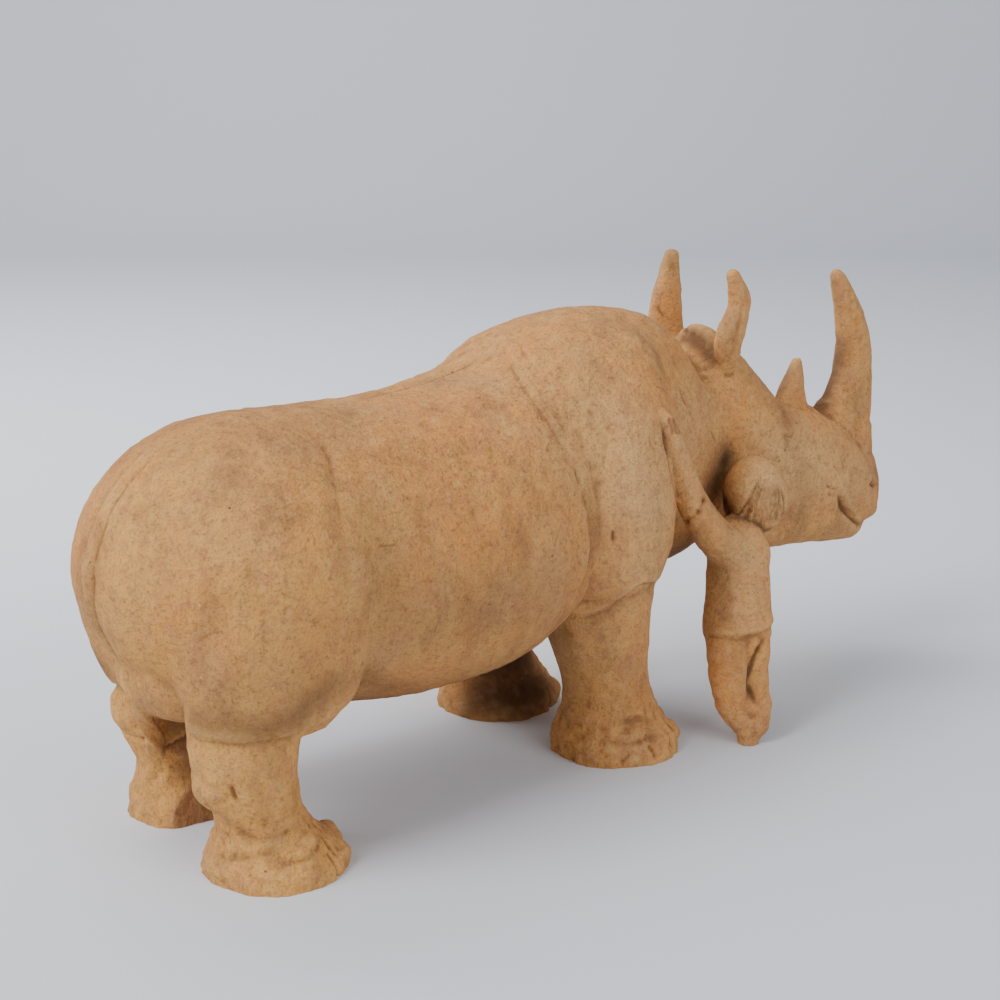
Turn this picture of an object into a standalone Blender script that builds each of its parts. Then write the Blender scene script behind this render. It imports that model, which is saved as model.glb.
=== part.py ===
"""A rhinoceros of fired clay with a person clinging to its right cheek, modelled as one solid.

The rhinoceros faces +X, its left side is +Y and the ground is Z = 0. The form is laid out in parts of the
overall height, so every place and size below follows HEIGHT.
"""

import math

import bmesh
import bpy
import numpy as np
from mathutils import Matrix, Vector
from mathutils.bvhtree import BVHTree

# Driving dimensions, in metres
HEIGHT = 0.272

# The form's own measure: one part is 1/272 of the height
PARTS_HIGH = 272.0
PART = HEIGHT / PARTS_HIGH

# How finely the clay is skinned, in parts, and how many triangles are kept
GRAIN = 2.0
TRIANGLES = 9300
RING_POINTS = 28

RIGHT = -1
LEFT = 1

# The middle of each foot
FRONT_FEET = ((RIGHT, (119.0, -50.0)), (LEFT, (116.0, 48.0)))
HIND_FEET = ((RIGHT, (-116.0, -45.0)), (LEFT, (-105.0, 46.0)))

# Where the head sits: the point between the ears, and how far the head turns to its right
EARS_AT = Vector((234.0, -3.0, 0.0))
HEAD_TURN = math.radians(12.0)

# Round the front of each foot, in degrees: where its toes stand out, and the clefts beside them
TOES = (-46, 0, 46)
CLEFTS = (-70, -23, 23, 70)

# Where each hock stands out: from the middle of the foot, and above the ground
HOCKS = ((-20.0, 51.0), (-22.0, 62.0))

# The middle of the person's head
PERSON_HEAD = Vector((222.0, -63.5, 134.5))

# Half widths of what is pressed into the clay, in parts
FOLD_WIDE = 5.0
CREASE_WIDE = 2.6
LINE_WIDE = 2.0

# Faces that meet at more than this show an edge
EDGE_ANGLE = math.radians(50.0)

CLAY_COLOUR = (0.52, 0.30, 0.14, 1.0)
CLAY_ROUGHNESS = 0.9


def clear_scene():
    """Removes whatever the scene holds."""
    for old in list(bpy.data.objects):
        bpy.data.objects.remove(old, do_unlink=True)


def flow(rows, steps):
    """A smooth run of rows that passes through each of the given rows."""
    rows = [np.array(row, float) for row in rows]
    padded = [2 * rows[0] - rows[1], *rows, 2 * rows[-1] - rows[-2]]
    run = []
    for before, start, end, after in zip(padded, padded[1:], padded[2:], padded[3:]):
        for step in range(steps):
            t = step / steps
            run.append(
                0.5
                * (
                    2 * start
                    + (end - before) * t
                    + (2 * before - 5 * start + 4 * end - after) * t**2
                    + (3 * start - before - 3 * end + after) * t**3
                )
            )
    run.append(rows[-1])
    return run


def add_ring(bm, centre, side, up, half_width, above, below, square):
    """A closed ring of edges whose section is an ellipse, taller above its centre than below where asked."""
    ring = bmesh.ops.create_circle(bm, segments=RING_POINTS, radius=1.0)["verts"]
    for vert in ring:
        across, rise = vert.co.x, vert.co.y
        across = math.copysign(abs(across) ** square, across)
        rise = math.copysign(abs(rise) ** square, rise)
        vert.co = centre + side * (across * half_width) + up * (rise * (above if rise > 0 else below))
    return ring


def add_skin(bm, rows, up_hint, facing=None, dome=0.6, square=1.0, steps=4):
    """A closed skin over rings at rows of (x, y, z, half width, height above, height below).

    facing holds every ring square to one direction, and dome is how far the ends round out, as a share of
    their own height.
    """
    run = flow(rows, steps)
    centres = [Vector(row[:3]) for row in run]
    rings = []
    last = len(run) - 1
    for index, row in enumerate(run):
        ahead = centres[min(index + 1, last)] - centres[max(index - 1, 0)]
        tangent = Vector(facing) if facing else ahead.normalized()
        side = Vector(up_hint).cross(tangent).normalized()
        rings.append((centres[index], tangent, side, tangent.cross(side), *row[3:6]))
    dome_steps = 4
    for end, way in ((0, -1), (-1, 1)):
        centre, tangent, side, up, half_width, above, below = rings[end]
        reach = dome * min(half_width, 0.5 * (above + below))
        for step in range(1, dome_steps + 1):
            angle = 0.49 * math.pi * step / dome_steps
            shrink = math.cos(angle)
            cap = (
                centre + tangent * (way * reach * math.sin(angle)),
                tangent,
                side,
                up,
                half_width * shrink,
                above * shrink,
                below * shrink,
            )
            if way < 0:
                rings.insert(0, cap)
            else:
                rings.append(cap)
    loops = [
        add_ring(bm, centre, side, up, half_width, above, below, square)
        for centre, _, side, up, half_width, above, below in rings
    ]
    for near, far in zip(loops, loops[1:]):
        edges = {edge for vert in near for edge in vert.link_edges if edge.other_vert(vert) in near}
        edges |= {edge for vert in far for edge in vert.link_edges if edge.other_vert(vert) in far}
        bmesh.ops.bridge_loops(bm, edges=list(edges))
    for loop in (loops[0], loops[-1]):
        bmesh.ops.contextual_create(bm, geom=loop)


def add_limb(bm, rows, up_hint=(1.0, 0.0, 0.0), dome=0.9, steps=4):
    """A round limb through rows of (x, y, z, radius)."""
    add_skin(bm, [(*row[:3], row[3], row[3], row[3]) for row in rows], up_hint, dome=dome, steps=steps)


def add_ball(bm, centre, radii, turn=0.0):
    """An ellipsoid, turned about the upright."""
    place = Matrix.Translation(Vector(centre)) @ Matrix.Rotation(turn, 4, "Z")
    shape = Matrix.Diagonal((*radii, 1.0))
    bmesh.ops.create_uvsphere(bm, u_segments=32, v_segments=20, radius=1.0, matrix=place @ shape)


def on_head(along, aside, rise):
    """A place given along the head from between the ears, out to its left, and above the ground."""
    ahead = Vector((math.cos(HEAD_TURN), -math.sin(HEAD_TURN), 0.0))
    left = Vector((math.sin(HEAD_TURN), math.cos(HEAD_TURN), 0.0))
    return EARS_AT + ahead * along + left * aside + Vector((0.0, 0.0, rise))


def add_rump(bm):
    """The round rump, standing a little proud of the barrel all round, and the seat between the haunches."""
    stations = []
    for step in range(1, 12):
        way = math.pi * step / 12
        spread = math.sin(way)
        stations.append((-101 - 83 * math.cos(way), 0, 143, 85 * spread, 78 * spread, 64 * spread))
    add_skin(bm, stations, (0, 0, 1), facing=(1, 0, 0), dome=0.13)
    add_ball(bm, (-140, 0, 97), (28, 36, 26))
    for side in (LEFT, RIGHT):
        haunch = (
            # x, y, height above the ground, half width, reach forward, reach back
            (-106, 38 * side, 155, 38, 44, 58),
            (-106, 39 * side, 122, 45, 47, 60),
            (-107, 39 * side, 98, 43.5, 39, 53),
            (-108, 39 * side, 84, 39, 30, 47),
            (-109, 39 * side, 75, 32, 25, 38),
        )
        add_skin(bm, haunch, (1, 0, 0), facing=(0, 0, -1), dome=0.12, square=0.9)


def add_barrel(bm):
    """Belly, flanks and back between the rump and the shoulders."""
    stations = (
        # x, y, level of the widest part, half width, height above it, depth below it
        (-100, 0, 138, 72, 83.5, 64),
        (-60, 0, 132, 80, 87, 69),
        (-20, 0, 128, 85, 89, 71),
        (20, 0, 128, 87, 91, 71),
        (50, 0, 132, 85, 92, 70),
        (72, 0, 138, 79, 93, 66),
    )
    add_skin(bm, stations, (0, 0, 1), facing=(1, 0, 0), dome=0.3, square=0.95)


def add_shoulders(bm):
    """The hump over the withers and a heavy shoulder on each side."""
    stations = (
        (62, 0, 150, 68, 80, 60),
        (80, 0, 150, 74, 91, 62),
        (105, 0, 152, 74, 95, 64),
        (130, 0, 154, 67, 95.5, 62),
        (158, 0, 156, 54, 92, 58),
    )
    add_skin(bm, stations, (0, 0, 1), facing=(1, 0, 0), dome=0.3, square=0.95)
    for side in (LEFT, RIGHT):
        blade = (
            # x, y, height above the ground, half width, reach forward, reach back
            (132, 22 * side, 234, 20, 26, 24),
            (127, 29 * side, 220, 29, 36, 34),
            (119, 36 * side, 195, 37, 40, 40),
            (111, 43 * side, 168, 38, 41, 45),
            (107, 47 * side, 140, 38, 45, 43),
            (105, 48 * side, 118, 36.5, 43, 39),
            (104, 48 * side, 106, 33, 37, 35),
        )
        add_skin(bm, blade, (1, 0, 0), facing=(0, 0, -1), dome=0.3, square=0.92)


def add_neck(bm):
    """The thick neck that carries the hump forward to behind the ears."""
    stations = (
        (130, 0, 160, 58, 86, 56),
        (158, 0, 160, 53, 87.5, 66),
        (178, -1, 158, 47, 85.5, 71),
        (194, -2, 156, 43, 80, 71),
        (206, -3, 152, 40, 69, 65),
        (222, -4, 148, 37, 58, 55),
    )
    add_skin(bm, stations, (0, 0, 1), facing=(1, 0, 0), dome=0.3, square=0.95)


def add_head(bm):
    """Crown, cheeks and snout over a separate jaw."""
    facing = on_head(1, 0, 0) - on_head(0, 0, 0)
    upper = (
        # along the head, level of the widest part, half width, height above, depth below
        (-14, 150, 34, 60, 46),
        (0, 150, 38, 79, 50),
        (20, 144, 40, 72, 50),
        (38, 136, 39, 62, 48),
        (60, 128, 35, 47, 36),
        (90, 121, 31, 48, 30),
        (112, 116, 28, 38, 27),
        (124, 111, 25, 33, 25),
        (133, 108, 20, 32, 21),
    )
    jaw = (
        (14, 106, 33, 18, 16),
        (40, 101, 33, 20, 19),
        (65, 100, 31, 20, 19.5),
        (95, 98, 28, 17, 20),
        (118, 93, 22, 13, 17),
        (125, 90, 17, 10, 13.5),
    )
    for stations, dome in ((upper, 0.5), (jaw, 0.6)):
        rows = [(*on_head(along, 0, level), half, above, below) for along, level, half, above, below in stations]
        add_skin(bm, rows, (0, 0, 1), facing=facing, dome=dome, square=0.92)
    add_ball(bm, on_head(128, 0, 98), (17, 20, 12), -HEAD_TURN)


def add_horns(bm):
    """The tall front horn, curving back, and the short one behind it."""
    ahead = on_head(1, 0, 0) - on_head(0, 0, 0)
    tall = ((119, 136, 17, 22), (116.5, 154, 13.5, 24.5), (121, 166, 12, 19.5), (124, 182, 11, 15.2),
            (125, 203, 9.8, 12.9), (119.8, 224, 7.8, 10.3), (111.5, 244, 5.4, 6.9), (107, 252, 3.8, 4.6))
    short = ((74, 160, 12, 16), (75, 174, 8.5, 11), (77, 188, 5.8, 6.8), (78.5, 198, 3.6, 4))
    for rows in (tall, short):
        placed = [(*on_head(along, 0, rise), side, fore, fore) for along, rise, side, fore in rows]
        add_skin(bm, placed, ahead, dome=0.9)


def add_ears(bm):
    """Two tall upright ears."""
    left = on_head(0, 1, 0) - on_head(0, 0, 0)
    near = ((4, -20, 199, 5, 5), (3, -24, 206, 7, 6), (2, -28, 214, 9, 7), (1, -32, 225, 10.5, 7),
            (3, -33, 234, 9.2, 6.6), (6, -33, 241, 8.2, 6.2), (6, -33, 249, 7.6, 5.6), (2, -34, 258, 5.6, 4.6),
            (-1.5, -35, 264, 4.2, 3.8))
    far = ((0, 24, 198, 8, 8), (0, 30, 212, 12.5, 8), (0, 33, 226, 13, 7.5), (1, 34, 242, 11, 7),
           (3, 35, 256, 7.5, 5.5), (5, 36, 267.5, 5, 4.6))
    for rows in (near, far):
        placed = [(*on_head(along, aside, rise), wide, thick, thick) for along, aside, rise, wide, thick in rows]
        add_skin(bm, placed, left, dome=0.7)


def add_leg(bm, foot, rows, toe_level):
    """A leg with level sections, through rows of (x and y from the middle of the foot, height above the
    ground, half width, reach forward, reach back), with its toes at a height above the ground."""
    placed = [(foot[0] + x, foot[1] + y, z, *reach) for x, y, z, *reach in rows]
    add_skin(bm, placed, (1, 0, 0), facing=(0, 0, -1), dome=0.1)
    for angle in TOES:
        way = math.radians(angle)
        toe = (foot[0] + 28.5 * math.cos(way), foot[1] + 27.5 * math.sin(way), toe_level)
        add_ball(bm, toe, (11, 10, 8))


def add_legs(bm):
    """Two pillars in front and two legs with standing-out hocks behind, each on a spreading foot."""
    for side, foot in FRONT_FEET:
        add_leg(bm, foot, (
            (-9, -4 * side, 125, 30, 36, 36),
            (-13, -2 * side, 100, 29, 34, 36),
            (-14, 0, 78, 28, 32, 33),
            (-9, 0, 52, 25, 26, 27),
            (-6, 0, 36, 24.5, 25, 25),
            (-3, 0, 20, 29, 30, 30),
            (0, 0, 9, 36, 35, 36.5),
            (0, 0, -6, 37, 36, 37.5),
        ), 7.5)
    for (side, foot), (behind, level) in zip(HIND_FEET, HOCKS):
        add_leg(bm, foot, (
            (-12, -3 * side, 105, 32, 34, 32),
            (-14, -2 * side, 82, 28, 31, 28.5),
            (-15, -1 * side, 63, 26.5, 27, 27.5),
            (-13, 0, 44, 24, 24, 25),
            (-8, 0, 30, 22.5, 21.5, 24),
            (-4, 0, 18, 29, 25, 29),
            (0, 0, 9, 36, 31, 36.5),
            (0, 0, -6, 37, 36, 37.5),
        ), 5)
        add_ball(bm, (foot[0] + behind, foot[1] + 2, level), (23, 22, 18))


def add_person(bm):
    """The person who hangs on the cheek: head, back, legs and both arms."""
    add_ball(bm, PERSON_HEAD, (20, 20, 24))
    torso = (
        (211, -63, 117, 13, 11, 11),
        (200, -71, 110, 19, 14, 12),
        (195, -75, 95, 18.5, 13, 13),
        (193, -78, 80, 19.5, 13, 13),
        (190, -81, 68, 20.5, 14, 14),
        (188, -83, 60, 20.5, 14, 14),
    )
    add_skin(bm, torso, (0.667, 0.745, 0), dome=0.2)
    arm = ((191, -73, 107, 12.5), (176.5, -76, 118, 12.5), (163.5, -76, 131, 10.5), (156, -72, 146, 9),
           (149, -70, 163, 7.5), (139, -73, 181, 6), (134, -73, 196, 5.2))
    add_limb(bm, arm)
    other = ((205, -62, 112, 11), (231, -48, 94, 9), (250, -28, 83, 8), (261, -8, 80, 7.5), (265, 6, 82, 6))
    add_limb(bm, other)
    add_limb(bm, ((184, -79, 62, 13.5), (178, -85, 48, 12.8), (173, -90, 36, 11.5), (173, -94, 22, 9.5),
                  (178, -100, 8, 7.5), (179, -101, 2, 7)))
    add_limb(bm, ((197, -89, 62, 9), (193, -94, 46, 7.5), (189, -98.5, 32, 7.5), (187, -102, 19, 8),
                  (184, -104, 10, 7)))
    add_limb(bm, ((192, -88, 64, 9), (187, -91, 46, 8), (183, -95, 32, 7), (181, -99, 20, 6)))


def add_tail(bm):
    """The end of the tail, hanging from under the rump against the left leg."""
    add_limb(bm, ((-162, 4, 88, 4.6), (-157, 8, 78, 4), (-150, 15, 66, 3.8), (-144, 20, 55, 3.6), (-139, 25, 45, 3)))


def skinned(bm):
    """A mesh of one even skin over everything in bm, drawn in a little where shapes meet."""
    bmesh.ops.recalc_face_normals(bm, faces=bm.faces[:])
    core = bpy.data.meshes.new("core")
    bm.to_mesh(core)
    bm.free()
    clay = bpy.data.objects.new("clay", core)
    bpy.context.scene.collection.objects.link(clay)
    skin = clay.modifiers.new("skin", "REMESH")
    skin.mode = "VOXEL"
    skin.voxel_size = GRAIN
    smooth = clay.modifiers.new("smooth", "SMOOTH")
    smooth.factor = 0.5
    smooth.iterations = 5
    return baked(clay)


def baked(clay):
    """The mesh that an object's modifiers leave, in place of the object."""
    mesh = bpy.data.meshes.new_from_object(clay.evaluated_get(bpy.context.evaluated_depsgraph_get()))
    bpy.data.objects.remove(clay, do_unlink=True)
    return mesh


class Surface:
    """The clay's skin while it is worked: its points, and the ways they face."""

    def __init__(self, mesh):
        count = len(mesh.vertices)
        self.mesh = mesh
        self.points = np.empty(count * 3)
        mesh.vertices.foreach_get("co", self.points)
        self.points = self.points.reshape(-1, 3)
        self.ends = np.empty(len(mesh.edges) * 2, int)
        mesh.edges.foreach_get("vertices", self.ends)
        self.ends = self.ends.reshape(-1, 2)
        self.face_out()
        self.tree = BVHTree.FromPolygons(
            self.points.tolist(), [tuple(face.vertices) for face in mesh.polygons], all_triangles=False
        )

    def face_out(self):
        """Works the normals out again after the points have moved."""
        self.mesh.vertices.foreach_set("co", self.points.ravel())
        self.mesh.update()
        self.normals = np.empty(self.points.size)
        self.mesh.vertex_normals.foreach_get("vector", self.normals)
        self.normals = self.normals.reshape(-1, 3)

    def soften(self, share, rounds):
        """Evens the points out with their neighbours, each by its own share."""
        first, second = self.ends.T
        count = len(self.points)
        weight = np.bincount(first, minlength=count) + np.bincount(second, minlength=count)
        for _ in range(rounds):
            total = np.stack(
                [
                    np.bincount(first, self.points[second, axis], count)
                    + np.bincount(second, self.points[first, axis], count)
                    for axis in range(3)
                ],
                axis=1,
            )
            self.points += share[:, None] * (total / weight[:, None] - self.points)
        self.face_out()

    def near_stroke(self, path, reach):
        """The points within reach of a stroke: which they are, how far off, how far along, and to which side.

        The stroke is laid on to the surface first, and the side is positive to the left of the stroke as
        seen from outside.
        """
        steps = max(2, int(12 / GRAIN))
        run = [self.tree.find_nearest(Vector(row)) for row in flow(path, steps)]
        laid = np.array([found[0] for found in run])
        facing = np.array([found[1] for found in run])
        tangent = np.gradient(laid, axis=0)
        left = np.cross(facing, tangent)
        left /= np.linalg.norm(left, axis=1)[:, None] + 1e-9
        inside = np.all((self.points > laid.min(0) - reach) & (self.points < laid.max(0) + reach), axis=1)
        chosen = np.flatnonzero(inside)
        gap = self.points[chosen, None] - laid[None]
        distance = np.linalg.norm(gap, axis=2)
        closest = distance.argmin(axis=1)
        rows = np.arange(len(chosen))
        off = distance[rows, closest]
        side = (gap[rows, closest] * left[closest]).sum(axis=1)
        kept = off < reach
        return chosen[kept], off[kept], closest[kept] / (len(run) - 1), side[kept]

    def groove(self, path, width, depth, fade=0.2):
        """Presses a groove of a given half width, or raises a ridge where the depth is negative."""
        chosen, off, along, _ = self.near_stroke(path, 2.5 * width)
        ends = np.clip(np.minimum(along, 1 - along) / fade, 0, 1) if fade else 1.0
        self.points[chosen] -= self.normals[chosen] * (depth * ends * np.exp(-((off / width) ** 2)))[:, None]

    def lap(self, path, reach, height, fade=0.15):
        """Raises one skin over another along a stroke: proud on its left, lower on its right."""
        chosen, off, along, side = self.near_stroke(path, 3 * reach)
        ends = np.clip(np.minimum(along, 1 - along) / fade, 0, 1) if fade else 1.0
        lift = height * ends * np.tanh(side / GRAIN) * np.exp(-((off / reach) ** 2))
        self.points[chosen] += self.normals[chosen] * lift[:, None]

    def dent(self, centre, radius, depth):
        """Presses one round hollow, or raises a bump where the depth is negative."""
        off = np.linalg.norm(self.points - np.array(self.tree.find_nearest(Vector(centre))[0]), axis=1)
        self.points -= self.normals * (depth * np.exp(-((off / radius) ** 2)))[:, None]


def on_both(path):
    """A path on the right side and the same path on the left."""
    return path, [(x, -y, z) for x, y, z in path]


def even_out(clay):
    """Blends haunches into rump, toes into feet, shoulders into hump, neck into cheeks, near arm and near ear."""
    ahead = clay.points[:, 0]
    level = clay.points[:, 2]
    rear = np.clip((-50 - ahead) / 20, 0, 1) * np.clip((level - 95) / 20, 0, 1)
    clay.soften(0.5 * rear, 30)
    clay.soften(0.5 * (level < 26) * (level > 2), 4)
    throat = np.clip((ahead - 185) / 10, 0, 1) * np.clip((232 - ahead) / 10, 0, 1) * (clay.points[:, 1] > -52)
    clay.soften(0.5 * throat * np.clip((205 - level) / 15, 0, 1), 25)
    withers = np.clip((ahead - 95) / 15, 0, 1) * np.clip((200 - ahead) / 10, 0, 1)
    clay.soften(0.5 * withers * np.clip((level - 185) / 20, 0, 1), 45)
    armpit = np.linalg.norm(clay.points - np.array((186.0, -84.0, 112.0)), axis=1)
    clay.soften(0.5 * np.clip((26 - armpit) / 8, 0, 1), 12)
    ear_root = np.linalg.norm(clay.points - np.array((228.0, -35.0, 207.0)), axis=1)
    clay.soften(0.5 * np.clip((17 - ear_root) / 6, 0, 1), 8)


def work_body(clay):
    """The creases where rump, barrel and shoulder meet, and the folds over the legs."""
    for crease in on_both([(-71, -13, 218), (-79, -41, 210), (-88, -68, 190), (-93, -83, 160), (-94, -84, 128),
                           (-98, -81, 99)]):
        clay.groove(crease, FOLD_WIDE, 1.0)
    for ridge in on_both([(72, -8, 236), (66, -27, 226), (61, -46, 215), (60, -64, 197), (64, -75, 174)]):
        clay.groove(ridge, CREASE_WIDE, -1.4)
        clay.groove([(x - 5, y, z) for x, y, z in ridge], CREASE_WIDE, 1.0)
    for groove in on_both([(65, -76, 172), (69, -79, 153), (69, -80, 137), (66, -79, 123), (59, -78, 108),
                           (50, -76, 96)]):
        clay.groove(groove, 0.7 * FOLD_WIDE, 2.6)
    for side, hem in zip((RIGHT, LEFT), on_both([(128, -76, 104), (112, -82, 105), (98, -80, 100), (85, -72, 94),
                                                (72, -60, 90)])):
        clay.lap(hem[::-1] if side == RIGHT else hem, FOLD_WIDE, 2.0)
    for side, hem in zip((RIGHT, LEFT), on_both([(-160, -25, 80), (-145, -52, 80), (-120, -72, 82), (-95, -76, 86),
                                                (-76, -68, 90)])):
        clay.lap(hem if side == RIGHT else hem[::-1], FOLD_WIDE, 1.6)
    clay.dent((84, -80, 139), LINE_WIDE, 1.6)


def work_tail(clay):
    """The tail pressed on to the rump as a band between two grooves."""
    band = [(-138, 6, 215), (-158, 7, 201), (-172, 8, 184), (-181, 8, 162), (-184, 8, 140), (-181, 8, 118),
            (-172, 7, 100), (-163, 5, 88)]
    clay.groove(band, FOLD_WIDE, -1.6, fade=0.3)
    for off in (-6, 6):
        clay.groove([(x, y + off, z) for x, y, z in band], LINE_WIDE, 1.2, fade=0.3)


def work_head(clay):
    """Ditch behind the crown, eyes, nostrils, mouth, ears and the crease at the big horn."""
    clay.groove([on_head(-12, aside, rise) for aside, rise in ((-32, 200), (-18, 216), (0, 222), (18, 216), (32, 200))],
                FOLD_WIDE, 3.5)
    clay.groove([on_head(s, y, z) for s, y, z in ((97, -9, 178), (96, -10, 166), (98, -12, 156))], FOLD_WIDE, 2)
    for side in (LEFT, RIGHT):
        clay.groove([on_head(s, 38 * side, z) for s, z in ((40, 172), (46, 175), (52, 172), (52, 164))], LINE_WIDE, -1)
        clay.groove([on_head(s, 24 * side, z) for s, z in ((124, 119), (129, 119), (134, 118))], LINE_WIDE, 2.6)
        clay.groove(
            [on_head(s, y * side, z) for s, y, z in ((84, 32, 120), (92, 31, 114), (99, 30, 105), (111, 27, 97),
                                                     (127, 20, 90))], CREASE_WIDE, 3.4, fade=0.25)
        clay.groove([on_head(s, 33 * side, z) for s, z in ((30, 104), (60, 103), (85, 105))], FOLD_WIDE, 0.6)
        clay.groove([on_head(s + 8, y * side, z) for s, y, z in ((2, 32, 215), (4, 33, 230), (6, 34, 245))], 4, 3)


def work_legs(clay):
    """Creases at the hocks and lines between the toes."""
    for _, (x, y) in FRONT_FEET + HIND_FEET:
        for angle in CLEFTS:
            way = math.radians(angle)
            out = (math.cos(way), math.sin(way))
            clay.groove([(x + 34 * out[0], y + 33 * out[1], 17), (x + 40 * out[0], y + 38 * out[1], 9),
                         (x + 40 * out[0], y + 38 * out[1], -3)], CREASE_WIDE, 2.4, fade=0)
    for side, (x, y) in HIND_FEET:
        clay.groove([(x - 42, y + 4 * side, 46), (x - 35, y + 15 * side, 47), (x - 32, y + 17 * side, 56)],
                    CREASE_WIDE, 2)


def work_person(clay):
    """Hem of the tunic, end of the sleeve and strands of hair."""
    clay.lap([(176, -70, 63), (170, -86, 64), (180, -96, 63), (192, -98, 65), (203, -94, 68), (206, -84, 70)],
             FOLD_WIDE, 1.8)
    clay.groove([(152, -75, 134), (155, -80, 140), (159, -80, 146)], LINE_WIDE, 2)
    clay.groove([(196, -100, 63), (189, -96, 57), (182, -96, 46), (181, -96, 37), (182, -102, 28)], LINE_WIDE, 2.6)
    across = Vector((0.745, -0.667, 0))
    back = Vector((-0.667, -0.745, 0))
    for strand in range(6):
        rows = ((4 + 3 * strand, 13 - 2 * strand, 17 - strand), (1 + 3.4 * strand, 19 - 2 * strand, 0),
                (-5 + 2.4 * strand, 15 - strand, -17))
        clay.groove([PERSON_HEAD + across * a + back * b + Vector((0, 0, c)) for a, b, c in rows], LINE_WIDE, 1.4, fade=0.1)


def thinned(mesh):
    """The same mesh with far fewer triangles, most of them where the form turns."""
    clay = bpy.data.objects.new("clay", mesh)
    bpy.context.scene.collection.objects.link(clay)
    triangles = sum(len(face.vertices) - 2 for face in mesh.polygons)
    thin = clay.modifiers.new("thin", "DECIMATE")
    thin.ratio = min(1.0, TRIANGLES / triangles)
    return baked(clay)


def stand(mesh):
    """Cuts everything below the ground away, leaving flat soles, and brings the form to its real size."""
    bm = bmesh.new()
    bm.from_mesh(mesh)
    bmesh.ops.bisect_plane(
        bm,
        geom=bm.verts[:] + bm.edges[:] + bm.faces[:],
        dist=1e-4,
        plane_co=(0, 0, 0),
        plane_no=(0, 0, 1),
        clear_inner=True,
    )
    rim = [edge for edge in bm.edges if edge.is_boundary]
    bmesh.ops.holes_fill(bm, edges=rim)
    for vert in bm.verts:
        if abs(vert.co.z) < 1e-3:
            vert.co.z = 0.0
    bmesh.ops.triangulate(bm, faces=bm.faces[:])
    bmesh.ops.scale(bm, vec=(PART, PART, PART), verts=bm.verts[:])
    bmesh.ops.recalc_face_normals(bm, faces=bm.faces[:])
    bm.to_mesh(mesh)
    bm.free()
    mesh.shade_smooth()
    mesh.set_sharp_from_angle(angle=EDGE_ANGLE)


def fired_clay():
    """Buff-orange fired clay, unglazed."""
    clay = bpy.data.materials.new("fired clay")
    clay.use_nodes = True
    shader = clay.node_tree.nodes["Principled BSDF"]
    shader.inputs["Base Color"].default_value = CLAY_COLOUR
    shader.inputs["Roughness"].default_value = CLAY_ROUGHNESS
    shader.inputs["Metallic"].default_value = 0.0
    return clay


def main():
    clear_scene()
    bm = bmesh.new()
    add_rump(bm)
    add_barrel(bm)
    add_shoulders(bm)
    add_neck(bm)
    add_head(bm)
    add_horns(bm)
    add_ears(bm)
    add_legs(bm)
    add_tail(bm)
    add_person(bm)
    clay = Surface(skinned(bm))
    even_out(clay)
    work_body(clay)
    work_tail(clay)
    work_legs(clay)
    clay.face_out()
    work_head(clay)
    work_person(clay)
    clay.soften(np.full(len(clay.points), 0.3), 1)
    mesh = thinned(clay.mesh)
    stand(mesh)
    mesh.materials.append(fired_clay())
    figure = bpy.data.objects.new("rhinoceros", mesh)
    bpy.context.scene.collection.objects.link(figure)
    corners = np.array([corner[:] for corner in figure.bound_box])
    middle = (corners.min(axis=0) + corners.max(axis=0)) / 2
    figure.location = (-middle[0], -middle[1], 0)


main()
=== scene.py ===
"""The finished look of a fired-clay rhinoceros with a small person clinging to its right cheek.

The form is laid out in parts of the figure's own height: the ground is at 0, the head points to +X and the
left side is +Y. It is built up, worked and stained at that size, and then set into the frame's box.
"""

import logging
import math
from dataclasses import dataclass
from enum import Enum

import bmesh
import bpy
import numpy as np
from mathutils import Matrix, Vector
from mathutils.bvhtree import BVHTree


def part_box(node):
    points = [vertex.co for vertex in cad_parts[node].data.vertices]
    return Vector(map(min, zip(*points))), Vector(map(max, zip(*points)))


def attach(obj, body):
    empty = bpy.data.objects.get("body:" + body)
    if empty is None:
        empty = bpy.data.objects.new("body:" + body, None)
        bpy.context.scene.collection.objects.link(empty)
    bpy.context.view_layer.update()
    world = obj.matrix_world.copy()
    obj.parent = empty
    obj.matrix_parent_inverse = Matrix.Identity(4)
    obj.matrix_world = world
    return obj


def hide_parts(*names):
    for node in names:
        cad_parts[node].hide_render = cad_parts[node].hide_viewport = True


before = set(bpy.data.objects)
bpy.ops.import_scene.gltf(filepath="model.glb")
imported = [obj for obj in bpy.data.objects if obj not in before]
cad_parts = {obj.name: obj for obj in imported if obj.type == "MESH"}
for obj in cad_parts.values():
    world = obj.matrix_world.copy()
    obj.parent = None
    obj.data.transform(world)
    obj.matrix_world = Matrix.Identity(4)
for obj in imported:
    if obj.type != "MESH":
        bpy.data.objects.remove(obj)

log = logging.getLogger("rhinoceros")

Point = tuple[float, float, float]
Row = tuple[float, ...]
Tree = bpy.types.NodeTree
Socket = bpy.types.NodeSocket

NODE = "rhinoceros"
BODY = "root"

# The node's box in parts: its height, and how far it reaches back and to the right from between the feet
PARTS_HIGH = 270.54
REACH_BACK = 184.47
REACH_RIGHT = 110.04

# How finely the clay is skinned, in parts, and how many triangles the piece keeps
GRAIN = 1.3
TRIANGLES = 190_000

# Points in a ring of a form, rings from one row to the next, rings in the dome at each end, and its arc
RING_POINTS = 32
RING_STEPS = 5
DOME_STEPS = 5
DOME_ARC = 0.49 * math.pi

# Places that a stroke is laid on to the skin at, from one row to the next
STROKE_STEPS = 10

# The piece is thinned freely behind this place and above this level, and elsewhere by this share
PLAIN_BEHIND = 150
PLAIN_ABOVE = 60
FINE_SHARE = 0.35

# Rounds of evening out, and how deep in parts a full hollow is after them
HOLLOWS = ((4, 0.22), (14, 0.9))

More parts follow.
